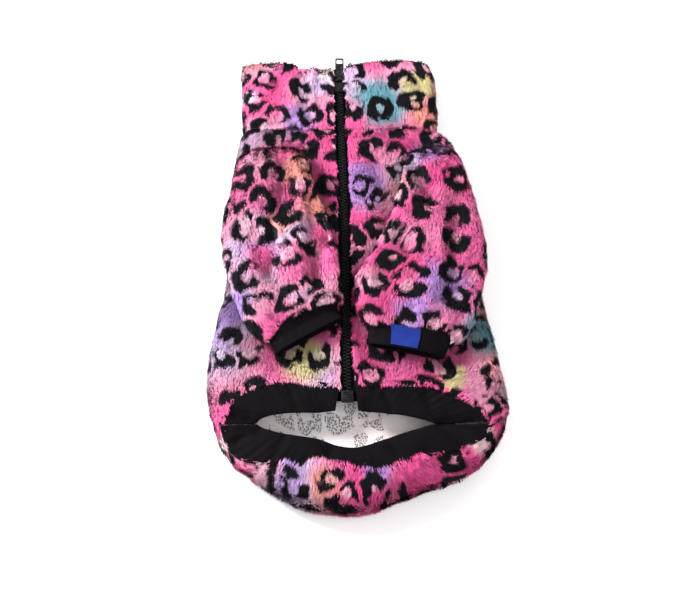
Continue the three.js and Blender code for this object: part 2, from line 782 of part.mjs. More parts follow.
function collar() {
  const girths = [
    ...steps(0, 1, COLLAR_STEPS.left),
    ...steps(1, 3, COLLAR_STEPS.side).slice(1),
    ...steps(3, 4, COLLAR_STEPS.back).slice(1),
    ...steps(4, 6, COLLAR_STEPS.side).slice(1),
    ...steps(6, GIRTH_END, COLLAR_STEPS.right).slice(1),
  ];
  const rows = steps(0, 1, COLLAR_STEPS.rows);
  const outer = collarGrid(girths, rows, 0);
  const inner = collarGrid(girths, rows, COLLAR_WALL);
  const last = rows.length - 1;
  const nose = outer[last].map((point, i) => {
    const tip = point.clone().lerp(inner[last][i], 0.5);
    tip.y += COLLAR_WALL / 2;
    return tip;
  });
  piece('collar', clothWall(outer, inner, { nose }), COLOURS.collar);
}

// A stretch of hem band, from its seam with the plush to its free edge at the mouth.
function hemBand(name, girths, mouthAt, endShift) {
  const plushEdge = (depth) => {
    const rows = bodyGrid(girths, depth);
    return rows[rows.length - 1];
  };
  const build = (depth) => {
    const edge = plushEdge(BAND_BELOW_PILE + depth);
    const free = girths.map((girth) => mouthAt(girth).setZ(MOUTH_HEIGHT - depth));
    const ways = edge.map((point, i) => {
      const before = edge[Math.max(0, i - 1)];
      const after = edge[Math.min(edge.length - 1, i + 1)];
      const way = new THREE.Vector3(before.y - after.y, after.x - before.x, 0).normalize();
      return way.multiplyScalar(Math.sign(way.dot(free[i].clone().sub(point))));
    });
    edge.forEach((point, i) => point.addScaledVector(ways[i], BAND_GAP));
    return steps(0, 1, BAND_STEPS).map((share) => edge.map((point, i) => {
      const here = point.clone().lerp(free[i], share);
      here.y += endShift(i);
      return here;
    }));
  };
  piece(name, clothWall(build(0), build(BAND_WALL)), COLOURS.band, 0.75);
}

function mouthShare(side) {
  return (girth) => {
    const { turn } = mirrorGirth(girth);
    const share = turn <= 1 ? BELLY_FLAT_SHARE * turn : lerp(BELLY_FLAT_SHARE, 1, turn - 1);
    return side.mouth.getPointAt(share);
  };
}

function sleeve(name, table, folds, color) {
  const rows = refineRows(table, SLEEVE_STEPS);
  piece(name, clothWall(tubeGrid(rows, 0, folds), tubeGrid(rows, PLUSH, folds), { round: true }), color);
}

// A cuff starts inside the sleeve's end and carries on to its own free edge.
function cuffRows(sleeveEnd, free) {
  const far = new THREE.Vector2(sleeveEnd.farX, sleeveEnd.farY);
  const near = new THREE.Vector2(sleeveEnd.nearX, sleeveEnd.nearY);
  const across = far.clone().sub(near).normalize();
  const down = new THREE.Vector2(across.y, -across.x);
  down.multiplyScalar(Math.sign(-down.y));
  far.addScaledVector(across, -CUFF_INSET).addScaledVector(down, SEAM);
  near.addScaledVector(across, CUFF_INSET).addScaledVector(down, SEAM);
  const height = sleeveEnd.height - 2 * CUFF_INSET;
  const lying = { fold: 90, lift: CUFF_INSET };
  const start = { farX: far.x, farY: far.y, nearX: near.x, nearY: near.y, height, ...lying };
  const end = { ...free, ...lying };
  return refineRows([start, end], CUFF_STEPS);
}

function cuff(name, rows) {
  const wall = clothWall(tubeGrid(rows, 0, []), tubeGrid(rows, BAND_WALL, []), { round: true });
  piece(name, wall, COLOURS.band, 0.75);
}

// The label is a patch of the cuff's top, moved out.
function cuffLabel(rows) {
  const spans = rows.length - 1;
  const patch = (above) => steps(LABEL.top * spans, LABEL.bottom * spans, spans).map((down) => (
    steps(LABEL.from, LABEL.to, LABEL_STEPS).map((share) => {
      const start = Math.min(Math.floor(down), spans - 1);
      const row = {};
      Object.keys(rows[start]).forEach((name) => {
        row[name] = lerp(rows[start][name], rows[start + 1][name], down - start);
      });
      const cosine = 2 * share - 1;
      const angle = Math.acos(Math.sign(cosine) * Math.abs(cosine) ** (TUBE_SQUARENESS / 2));
      const point = tubePoint(row, angle, 0, []);
      point.z += above;
      return point;
    })
  ));
  piece('cuff_label', clothWall(patch(LABEL.gap + LABEL_WALL), patch(LABEL.gap)), COLOURS.label, 0.7);
}

// How far under the plush face the zip tape's face lies. The collar's wall is the thicker one.
function tapeTop(x, y) {
  const wall = lerp(PLUSH, COLLAR_WALL, smoothstep(y, COLLAR_WALL_START, COLLAR_WALL_FULL));
  const folds = y > NECK_Y ? COLLAR_FOLDS : BELLY_FOLDS;
  return heightAt(y) + foldAt(folds, x, y) - wall - SEAM;
}

// A straight-sided strip along the zip's line, between two distances from it.
function zipStrip(headY, footY, from, to, bottom, top) {
  const count = Math.ceil((headY - footY) / ZIP_STEP);
  const rows = steps(headY, footY, count);
  const face = (rise) => rows.map((y) => steps(from, to, 2).map((x) => (
    new THREE.Vector3(zipX(y) + x, y, tapeTop(zipX(y) + x, y) + rise)
  )));
  return clothWall(face(top), face(bottom));
}

function zipTapes() {
  const left = zipStrip(TAPE_HEAD_Y, TAPE_FOOT_Y, -TAPE_HALF_WIDTH, -TAPE_INNER, -TAPE_WALL, 0);
  const right = zipStrip(TAPE_HEAD_Y, TAPE_FOOT_Y, TAPE_INNER, TAPE_HALF_WIDTH, -TAPE_WALL, 0);
  piece('zip_tape_left', left, COLOURS.zip);
  piece('zip_tape_right', right, COLOURS.zip);
}

function zipChain() {
  const head = SLIDER_FOOT_Y - SEAM;
  const chain = zipStrip(head, CHAIN_FOOT_Y, -CHAIN_WIDTH / 2, CHAIN_WIDTH / 2, SEAM, SEAM + CHAIN_HEIGHT);
  piece('zip_chain', chain, COLOURS.zip, 0.45);
  const boxHead = CHAIN_FOOT_Y - SEAM;
  const box = zipStrip(boxHead, boxHead - BOX_LENGTH, -BOX_WIDTH / 2, BOX_WIDTH / 2, SEAM, SEAM + BOX_HEIGHT);
  piece('zip_bottom_box', box, COLOURS.zip, 0.45);
}

// The slider stands on the tapes at the collar, with two lugs that hold the pull tab.
const sliderX = zipX(SLIDER_FOOT_Y + SLIDER_LENGTH / 2);
const sliderZ = tapeTop(sliderX, SLIDER_FOOT_Y) + SEAM;
const hinge = new THREE.Vector3(
  sliderX,
  SLIDER_FOOT_Y + SLIDER_LENGTH - HINGE_BACK,
  sliderZ + SLIDER_HEIGHT + HINGE_RISE,
);

function blockSolid(width, length, height, x, y, z) {
  const block = new THREE.BoxGeometry(width, length, height);
  block.translate(x, y, z);
  return toSolid(block);
}

function zipSlider() {
  const { widestFrom, widestTo, noseHalf } = SLIDER_OUTLINE;
  const half = [
    { x: SLIDER_TAIL_WIDTH / 2, y: 0 },
    { x: SLIDER_WIDTH / 2, y: SLIDER_LENGTH * widestFrom },
    { x: SLIDER_WIDTH / 2, y: SLIDER_LENGTH * widestTo },
    { x: SLIDER_WIDTH * noseHalf, y: SLIDER_LENGTH },
  ];
  const outline = new THREE.Shape([
    ...half.map(({ x, y }) => new THREE.Vector2(x, y)),
    ...half.map(({ x, y }) => new THREE.Vector2(-x, y)).reverse(),
  ]);
  const shell = new THREE.ExtrudeGeometry(outline, { depth: SLIDER_HEIGHT, bevelEnabled: false });
  shell.translate(sliderX, SLIDER_FOOT_Y, sliderZ);
  let slider = toSolid(shell);
  for (const sign of [-1, 1]) {
    const rise = HINGE_RISE + LUG.above;
    const top = sliderZ + SLIDER_HEIGHT;
    const x = sliderX + sign * (LUG.x + LUG.width / 2);
    slider = slider.add(blockSolid(LUG.width, LUG.length, rise + 1, x, hinge.y, top + (rise - 1) / 2));
  }
  piece('zip_slider', toGeometry(slider), COLOURS.zip, 0.35, 0.6);
}

// The pull tab lies along the zip past the collar's edge and swings up about the slider's lugs.
function zipPull() {
  const half = TAB.width / 2;
  const tab = new THREE.Shape();
  tab.moveTo(-TAB.neck / 2, 0);
  tab.lineTo(TAB.neck / 2, 0);
  tab.lineTo(TAB.neck / 2, TAB.start);
  tab.lineTo(half, TAB.start + TAB.corner);
  tab.lineTo(half, TAB.end - TAB.corner);
  tab.lineTo(half - TAB.corner, TAB.end);
  tab.lineTo(-half + TAB.corner, TAB.end);
  tab.lineTo(-half, TAB.end - TAB.corner);
  tab.lineTo(-half, TAB.start + TAB.corner);
  tab.lineTo(-TAB.neck / 2, TAB.start);
  const hole = new THREE.Path();
  const windowHalf = half - TAB.rim;
  hole.moveTo(-windowHalf, TAB.end - TAB.rim - TAB.window);
  hole.lineTo(windowHalf, TAB.end - TAB.rim - TAB.window);
  hole.lineTo(windowHalf, TAB.end - TAB.rim);
  hole.lineTo(-windowHalf, TAB.end - TAB.rim);
  tab.holes.push(hole);
  const plate = new THREE.ExtrudeGeometry(tab, { depth: TAB.thick, bevelEnabled: false });
  plate.translate(hinge.x, hinge.y, hinge.z - TAB.thick / 2);
  const barrel = new THREE.CylinderGeometry(TAB.barrelRadius, TAB.barrelRadius, TAB.barrelWidth, 10);
  barrel.rotateZ(QUARTER);
  barrel.translate(hinge.x, hinge.y, hinge.z);
  piece('zip_pull', toGeometry(toSolid(plate).add(toSolid(barrel))), COLOURS.zip, 0.35, 0.6);
}

piece('back_panel', clothWall(bodyGrid(GIRTHS.back, 0), bodyGrid(GIRTHS.back, PLUSH)), COLOURS.back);
bellyPanel('belly_left', GIRTHS.bellyLeft, SLEEVE_LEFT[0], COLOURS.bellyLeft);
bellyPanel('belly_right', GIRTHS.bellyRight, SLEEVE_RIGHT[0], COLOURS.bellyRight);
collar();
sleeve('sleeve_left', SLEEVE_LEFT, LEFT_SLEEVE_FOLDS, COLOURS.sleeveLeft);
sleeve('sleeve_right', SLEEVE_RIGHT, RIGHT_SLEEVE_FOLDS, COLOURS.sleeveRight);
const leftCuff = cuffRows(SLEEVE_LEFT[SLEEVE_LEFT.length - 1], CUFF_LEFT);
const rightCuff = cuffRows(SLEEVE_RIGHT[SLEEVE_RIGHT.length - 1], CUFF_RIGHT);
cuff('cuff_left', leftCuff);
cuff('cuff_right', rightCuff);
cuffLabel(rightCuff);
const leftEnd = GIRTHS.bellyLeft.length - 1;
const backEnd = GIRTHS.back.length - 1;
hemBand('hem_band_left', GIRTHS.bellyLeft, mouthShare(SIDES.left), (i) => (i === leftEnd ? BAND_END_GAP : 0));
hemBand('hem_band_right', GIRTHS.bellyRight, mouthShare(SIDES.right), (i) => (i === 0 ? BAND_END_GAP : 0));
const backMouth = (girth) => mouthBack.getPointAt(tailShare(girth, 1));
hemBand('hem_band_back', GIRTHS.back, backMouth, (i) => (i === 0 || i === backEnd ? -BAND_END_GAP : 0));
zipTapes();
zipChain();
zipSlider();
zipPull();

export default coat;
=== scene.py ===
import sys
import logging
import math
from collections.abc import Callable, Iterator
from contextlib import contextmanager
from dataclasses import dataclass, field
from enum import Enum

import bpy
import numpy as np
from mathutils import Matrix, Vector


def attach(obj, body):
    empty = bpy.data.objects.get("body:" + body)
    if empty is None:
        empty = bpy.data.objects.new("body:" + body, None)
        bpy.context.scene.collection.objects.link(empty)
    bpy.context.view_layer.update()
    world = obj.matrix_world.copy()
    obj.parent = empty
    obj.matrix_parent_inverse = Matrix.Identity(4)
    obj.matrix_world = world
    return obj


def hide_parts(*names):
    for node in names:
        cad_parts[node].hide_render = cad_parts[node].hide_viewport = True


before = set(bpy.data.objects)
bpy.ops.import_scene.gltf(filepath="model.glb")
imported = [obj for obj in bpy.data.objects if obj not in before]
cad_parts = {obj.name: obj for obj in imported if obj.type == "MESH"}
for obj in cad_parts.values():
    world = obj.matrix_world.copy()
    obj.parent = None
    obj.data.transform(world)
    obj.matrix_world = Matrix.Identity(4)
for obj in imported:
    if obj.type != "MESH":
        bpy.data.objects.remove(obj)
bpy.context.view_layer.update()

log = logging.getLogger("coat")
Array = np.ndarray
Table = dict[str, Array]
Piece, Material = bpy.types.Object, bpy.types.Material
Tree, Node, Socket = bpy.types.NodeTree, bpy.types.Node, bpy.types.NodeSocket

PLAN_CENTRE = np.array([6.0, 33.8, 0.0])
METRES = 0.001
QUARTER = math.pi / 2
UP = np.array([0.0, 0.0, 1.0])


class Slot(Enum):
    """The record's finishes."""

    PLUSH = "plush"
    ELASTIC = "elastic_cloth"
    ZIP = "zip"
    METAL = "zip_metal"
    LABEL = "label"


class Body(Enum):
    """The bodies that pieces ride on."""

    COAT = "coat"
    PULL_TAB = "pull_tab"


class Side(Enum):
    """The picture's left and right, as the sign of X."""

    LEFT = -1
    RIGHT = 1


def table(columns: str, *rows: tuple[float, ...]) -> Table:
    """Names the columns of a short table of sizes."""
    return dict(zip(columns.split(), np.array(rows, float).T))


# The coat lies flattened: low at the collar's top edge, higher at the hem.
COLLAR_TOP_Y = 262.0
NECK_Y = 180.0
BELLY_HEM_Y = -83.0
COLLAR_TOP_HEIGHT = 24.0
NECK_HEIGHT = 26.0
HEM_HEIGHT = 31.0
HEM_RADIUS = HEM_HEIGHT / 2

PLUSH = 5.0
COLLAR_WALL = 6.0
SEAM = 0.3
SEAM_GIRTH = 0.01
ZIP_EDGE = 6.5
SLEEVE_REST = 0.5
TUBE_SQUARENESS = 2.6

ZIP_LINE = table("y x", (262, -11), (214, -10), (137, -7), (60, -4.5), (-2, -4), (-105, -2))
BODY_SECTIONS = table(
    "y left right",
    (180, -102, 81), (171, -105, 94), (158, -107.5, 101.5), (138, -110, 108), (111, -111, 112),
    (80, -112, 116), (54, -112, 119), (30, -111.5, 119.5), (8, -114, 120), (-12, -118, 123),
    (-33, -122, 127.5), (-53, -125, 131),
)
COLLAR_SECTIONS = table(
    "y left right",
    (180, -102.5, 83), (200, -103.5, 83.5), (222, -104.5, 83), (244, -105.5, 81), (262, -104, 75),
)
COLLAR_FRONT_EDGE = table(
    "x y",
    (-106, 249), (-98, 254), (-72, 256), (-52, 254), (-46, 243), (-40, 250), (-33, 251), (-28, 247),
    (-20, 251), (-11, 249), (0, 254), (22, 258), (60, 259.5), (72, 256), (80, 248),
)
TAIL_OUTLINE = table(
    "x y",
    (-126, -80), (-124, -96), (-120, -113), (-114, -131), (-103, -149), (-84, -165), (-60, -181),
    (-34, -192), (-8, -195.5), (16, -194), (42, -184), (72, -173), (102, -162), (121, -144),
    (133, -122), (138, -101), (136, -80),
)
BELLY_SEAMS = {
    Side.LEFT: table(
        "x y",
        (-8.5, -83), (-18, -83), (-36, -80), (-52, -78), (-70, -79), (-89, -87), (-102, -98), (-111, -119),
    ),
    Side.RIGHT: table(
        "x y",
        (4.5, -82), (26, -81), (46, -81), (64, -82.5), (82, -87), (98, -94), (112, -104), (123, -117),
    ),
}
BACK_SEAM = table(
    "x y",
    (-111, -119), (-105, -138), (-94, -149), (-78, -153.5), (-46, -154), (-11, -155), (8, -160),
    (25, -162), (46, -154), (72, -145), (98, -138), (115, -129), (123, -117),
)
MOUTHS = {
    Side.LEFT: table("x y", (-12.5, -105), (-29, -107), (-47, -107), (-65, -109), (-77, -113), (-82, -117.5)),
    Side.RIGHT: table("x y", (7, -105), (25, -107), (43, -109), (61, -113), (75, -117.5)),
}
MOUTH_BACK = table(
    "x y",
    (-82, -117.5), (-66, -125), (-47, -129), (-29, -132), (-11, -138), (3, -140), (14, -138),
    (27, -133.5), (45, -127), (62, -121.5), (75, -117.5),
)
MOUTH_HEIGHT = 28.0
HEM_RINGS = table(
    "start spread roll reach belly",
    (0, 0, 90, 0, 0), (0.015, 0.5, 45, 0, 0.15), (0.03, 1, 0, 0, 0.3), (0.045, 1, 0, 0.1, 0.45),
    (0.06, 1, 0, 0.28, 0.6), (0.08, 1, 0, 0.55, 0.8), (0.1, 1, 0, 1, 1),
)
BELLY_RUNOUT_Y = -64.0
SIDE_SHARE = 0.08
BELLY_FLAT_SHARE = 0.82

SLEEVES = {
    Side.LEFT: table(
        "farX farY nearX nearY height fold",
        (-103, 139, -42, 142, 31, 0), (-105, 129, -38, 132, 29, 45), (-108, 114, -34, 115, 28, 75),
        (-111, 97, -29, 97, 27, 90), (-116, 68, -20, 70, 28, 90), (-115, 40, -13, 46, 28, 90),
        (-109, 10, -9, 21, 26, 90), (-101, -12, -7, 3, 25, 90), (-92, -32, -6, -7, 22, 90),
        (-81, -45, -9, -12, 18, 90), (-70, -49, -11, -13.5, 15, 90),
    ),
    Side.RIGHT: table(
        "farX farY nearX nearY height fold",
        (99, 144, 55, 141, 31, 0), (103, 133, 51, 129, 29, 45), (108, 117, 46, 113, 28, 75),
        (113, 98, 42, 97, 26, 90), (119, 68, 34, 68, 27, 90), (123, 40, 20, 40, 27, 90),
        (121, 16, 7, 18, 26, 90), (115, -9, 4, -7, 25, 90), (109, -30, 8, -25, 22, 90),
        (101, -43, 12, -33, 18, 90), (88, -51, 14, -35.5, 15, 90),
    ),
}
CUFFS = {
    Side.LEFT: {"farX": -64.5, "farY": -57.5, "nearX": -6.5, "nearY": -23.5, "height": 12.0},
    Side.RIGHT: {"farX": 82.0, "farY": -60.5, "nearX": 16.0, "nearY": -48.0, "height": 12.0},
}
CUFF_TOPS = {
    Side.LEFT: {"farX": -75.0, "farY": -37.0, "nearX": -7.5, "nearY": -4.0, "height": 16.5},
    Side.RIGHT: {"farX": 91.0, "farY": -35.0, "nearX": 12.0, "nearY": -25.0, "height": 16.5},
}
CUFF_INSET = 1.5
# Where a sleeve's pile ends over its cuff, by the angle round it, as a share of the sleeve's length.
PILE_ENDS = {
    Side.LEFT: table("angle share", (0, 0.97), (50, 0.95), (79, 0.87), (96, 0.85), (157, 0.84), (200, 0.96)),
    Side.RIGHT: table("angle share", (0, 0.96), (59, 0.89), (107, 0.87), (156, 0.92), (200, 0.96)),
}

# Main folds, each a soft trough between two places, and after them the smaller creases.
FOLD = "x1 y1 x2 y2 depth width"
BELLY_FOLDS = table(
    FOLD,
    (20, 152, 33, 98, 3, 8), (-100, -40, -58, -66, 3, 9), (70, -66, 118, -56, 4, 8), (20, -60, 52, -70, 2.5, 8),
)
COLLAR_FOLDS = table(FOLD, (-48, 254, -44, 200, 4.5, 6), (-31, 250, -30, 205, 3.5, 4.5), (34, 240, 44, 190, 2.5, 8))
SLEEVE_FOLDS = {
    Side.LEFT: table(FOLD, (-66, 140, -54, 78, 8, 9), (-36, 90, -29, 5, 6, 8), (-86, 52, -62, -8, 5, 9)),
    Side.RIGHT: table(FOLD, (56, 132, 74, 88, 6, 8), (44, 70, 34, 12, 5, 9), (94, 84, 88, -6, 5, 10)),
}
BELLY_CREASES = table(
    FOLD,
    (-80, 176, -40, 166, 2.2, 5), (-96, 158, -66, 148, 1.8, 4), (32, 172, 70, 162, 2.2, 5), (60, 152, 98, 160, 1.6, 4),
    (-60, -52, -30, -60, 1.6, 5), (-30, -66, -22, -80, 1.6, 4), (8, -40, 22, -76, 1.8, 4), (60, -74, 84, -84, 2, 4),
    (-112, -60, -90, -76, 1.8, 5), (104, -30, 124, -44, 2, 5), (-116, 60, -104, 20, 1.6, 5), (112, 96, 118, 50, 1.6, 5),
)
COLLAR_CREASES = table(
    FOLD,
    (-96, 196, -58, 190, 1.8, 5), (-92, 240, -66, 226, 1.6, 5), (-40, 232, -38, 188, 2, 3),
    (-22, 246, -20, 214, 1.8, 3), (14, 250, 10, 196, 1.6, 5), (62, 252, 74, 206, 1.8, 6), (26, 190, 66, 186, 1.4, 4),
)
BACK_CREASES = table(
    FOLD,
    (-84, 150, -20, 120, 1.8, 7), (-10, 96, 66, 120, 1.5, 6), (-92, 40, -34, 22, 1.8, 7), (10, 10, 86, -16, 2, 8),
    (-70, -60, -8, -84, 1.8, 7), (30, -70, 92, -96, 1.6, 6), (-40, 176, 30, 166, 1.6, 5), (-78, 230, -30, 216, 1.4, 5),
)
SLEEVE_CREASES = {
    Side.LEFT: table(
        FOLD,
        (-65, 132, -66, 48, 5.5, 5), (-66, 48, -72, 14, 4, 5), (-50, 128, -46, 20, -4.5, 8), (-27, 96, -21, 52, 5, 5),
        (-21, 52, -34, 10, 4, 5), (-86, 110, -88, 20, -2.5, 9),
        (-96, 118, -80, 96, 2.4, 5), (-50, 118, -40, 92, 2, 4), (-104, 60, -84, 40, 2, 6), (-76, 84, -62, 50, 2.4, 5),
        (-52, 66, -44, 26, 2.2, 5), (-94, 4, -66, -24, 2.2, 5), (-60, 12, -40, -10, 2, 5), (-24, 50, -18, 14, 1.8, 4),
        (-70, -26, -50, -38, 2, 4), (-40, -12, -24, -20, 1.6, 4),
    ),
    Side.RIGHT: table(
        FOLD,
        (60, 126, 72, 92, 4.5, 5), (36, 80, 52, 40, 4.5, 5), (28, 50, 26, 8, 3.5, 5), (44, 84, 60, 44, -3, 7),
        (78, 90, 84, 20, -3, 9), (96, 70, 90, -10, 3.5, 6),
        (92, 126, 104, 96, 2.2, 5), (62, 96, 54, 60, 2.2, 5), (78, 70, 74, 34, 2.2, 5), (112, 50, 104, 14, 2, 6),
        (24, 30, 20, -10, 1.8, 5), (58, 20, 52, -16, 2.2, 5), (76, -14, 70, -40, 2, 4), (100, -20, 90, -40, 2, 4),
        (36, -16, 40, -34, 1.8, 4), (34, 92, 30, 60, 1.8, 5),
    ),
}
BAND_CREASES = table(
    FOLD,
    (-98, -112, -78, -122, 2.6, 5), (-96, -132, -74, -122, 2.2, 4), (-104, -122, -90, -124, 1.8, 4),
    (104, -118, 78, -116, 2.4, 4), (96, -134, 76, -121, 2.2, 4.5), (-50, -90, -46, -104, 1.2, 4),
    (30, -88, 36, -106, 1.4, 4), (-20, -152, -14, -140, 1.4, 5), (40, -144, 34, -134, 1.2, 4),
    (66, -92, 72, -110, 1.4, 4), (-64, -146, -56, -130, 1.3, 4),
)


def to_frame(points: Array) -> Array:
    """Turns the drawing's millimetres into the frame's metres."""
    return (points - PLAN_CENTRE) * METRES


def lerp(start: Array, end: Array, share: Array) -> Array:
    """A value part of the way from start to end."""
    return start + (end - start) * share


def smoothstep(value: Array, low: float, high: float) -> Array:
    """0 below low, 1 above high and a smooth rise between them."""
    share = np.clip((value - low) / (high - low), 0, 1)
    return share * share * (3 - 2 * share)


def unit(vectors: Array) -> Array:
    """Vectors of length one."""
    return vectors / np.maximum(np.linalg.norm(vectors, axis=-1, keepdims=True), 1e-9)


def column_at(rows: Table, key: str, at: Array, column: str) -> Array:
    """Value of one column of a table at places on another, straight between its rows."""
    order = np.argsort(rows[key])
    return np.interp(at, rows[key][order], rows[column][order])


def fold_at(folds: Table, x: Array, y: Array) -> Array:
    """Depth of a table of folds at places of the plan, as a negative height.

    Args:
        folds: the table.
        x: places on the plan, across.
        y: the same places, along.

    Returns:
        The height to add at each place.
    """
    depth = np.zeros(np.broadcast(x, y).shape)
    for x1, y1, x2, y2, deep, width in zip(*(folds[name] for name in FOLD.split())):
        along = np.array([x2 - x1, y2 - y1])
        share = np.clip(((x - x1) * along[0] + (y - y1) * along[1]) / (along @ along), 0, 1)
        distance = np.hypot(x - x1 - share * along[0], y - y1 - share * along[1])
        depth += deep * np.exp(-((distance / width) ** 2))
    return -depth


def ripple(at: Array, size: float, seed: int) -> Array:
    """Smooth uneven waves over places of the cloth.

    Args:
        at: places, one a row, in millimetres.
        size: about how far it is from wave to wave.
        seed: which set of waves.

    Returns:
        A value for each place, mostly from -1 to 1.
    """
    rng = np.random.default_rng(seed)
    total = np.zeros(at.shape[:-1])
    for _ in range(7):
        way = unit(rng.normal(size=at.shape[-1]))
        wave = size * rng.uniform(0.7, 1.6)
        total += np.sin(at @ way * (2 * math.pi / wave) + rng.uniform(0, 2 * math.pi))
    return np.clip(total / 3.2, -1.3, 1.3)


def smooth_rows(points: Array, shares: Array) -> Array:
    """Centripetal curves through rows of points, each column on its own curve.

    Args:
        points: control points, as rows, columns, 3.
        shares: where to read the curves, from 0 at the first row to 1 at the last.

    Returns:
        One row of points for each share.
    """
    count = len(points)
    ends = np.concatenate([[2 * points[0] - points[1]], points, [2 * points[-1] - points[-2]]])
    place = np.clip(shares, 0, 1) * (count - 1)
    first = np.minimum(place.astype(int), count - 2)
    t = (place - first)[:, None, None]
    p0, p1, p2, p3 = (ends[first + step] for step in range(4))
    gaps = [np.maximum(((b - a) ** 2).sum(-1, keepdims=True), 1e-8) ** 0.25 for a, b in ((p0, p1), (p1, p2), (p2, p3))]
    slope_in = ((p1 - p0) / gaps[0] - (p2 - p0) / (gaps[0] + gaps[1]) + (p2 - p1) / gaps[1]) * gaps[1]
    slope_out = ((p2 - p1) / gaps[1] - (p3 - p1) / (gaps[1] + gaps[2]) + (p3 - p2) / gaps[2]) * gaps[1]
    square = (3 * (p2 - p1) - 2 * slope_in - slope_out) * t**2
    cube = (2 * (p1 - p2) + slope_in + slope_out) * t**3
    return p1 + slope_in * t + square + cube


def resample(grid: Array, rows: int, columns: int) -> Array:
    """A grid of numbers read at even steps of its rows and columns, straight between its points.

    Args:
        grid: the numbers.
        rows: how many rows to read.
        columns: how many columns.

    Returns:
        The new grid.
    """
    for count in (rows, columns):
        place = np.linspace(0, len(grid) - 1, count)
        first = np.minimum(place.astype(int), len(grid) - 2)
        grid = lerp(grid[first], grid[first + 1], (place - first)[:, None]).T
    return grid


def laid_out(width: Array, length: Array, lean: Array, steps: int = 90) -> Array:
    """Lays a grid of points out flat, with neighbours as far apart as along the cloth.

    Each step puts all the points where the true distances, in their present directions, fit best.

    Args:
        width: each point's distance along its row.
        length: each point's distance along its column.
        lean: cosine of the angle between row and column at each point.
        steps: how many times the points are moved.

    Returns:
        The flat places, as rows, columns, 2.
    """
    number = np.arange(width.size).reshape(width.shape)
    across, down = np.diff(width, axis=1), np.diff(length, axis=0)
    wide, long = (across[1:] + across[:-1]) / 2, (down[:, 1:] + down[:, :-1]) / 2
    slant = 2 * wide * long * (lean[1:, 1:] + lean[:-1, :-1] + lean[1:, :-1] + lean[:-1, 1:]) / 4
    square = wide**2 + long**2
    links = (
        (number[:, 1:], number[:, :-1], across), (number[1:], number[:-1], down),
        (number[1:, 1:], number[:-1, :-1], np.sqrt(square + slant)),
        (number[1:, :-1], number[:-1, 1:], np.sqrt(square - slant)),
    )
    one, other, apart = (np.concatenate([link[part].ravel() for link in links]) for part in range(3))
    weight = 1 / np.maximum(apart, 0.5) ** 2
    stiff = np.full((width.size, width.size), 1 / width.size)
    for first, second, sign in ((one, one, 1), (other, other, 1), (one, other, -1), (other, one, -1)):
        np.add.at(stiff, (first, second), sign * weight)
    spread = np.linalg.inv(stiff)
    flat = np.stack([width - width[:, [width.shape[1] // 2]], -length], -1).reshape(-1, 2)
    for _ in range(steps):
        pull = unit(flat[one] - flat[other]) * (apart * weight)[:, None]
        force = np.zeros_like(flat)
        np.add.at(force, one, pull)
        np.add.at(force, other, -pull)
        flat = spread @ force
    return flat.reshape(*width.shape, 2)


class SmoothLine:
    """A smooth line of the plan through a short table of places, read by share of its length."""

    DIVISIONS = 200

    def __init__(self, rows: Table) -> None:
        """Measures the line through the rows' x and y.

        Args:
            rows: the table of places.
        """
        self.points = np.stack([rows["x"], rows["y"], np.zeros(len(rows["x"]))], 1)[:, None]
        self.steps = np.linspace(0, 1, self.DIVISIONS + 1)
        drawn = smooth_rows(self.points, self.steps)[:, 0]
        lengths = np.concatenate([[0], np.cumsum(np.linalg.norm(np.diff(drawn, axis=0), axis=1))])
        self.shares = lengths / lengths[-1]

    def at(self, share: Array) -> Array:
        """Points at shares of the line's length."""
        return smooth_rows(self.points, np.interp(share, self.shares, self.steps))[:, 0]

    def way(self, share: Array) -> Array:
        """Directions at shares of the line's length."""
        place = np.interp(share, self.shares, self.steps)
        return unit(smooth_rows(self.points, place + 1e-4)[:, 0] - smooth_rows(self.points, place - 1e-4)[:, 0])


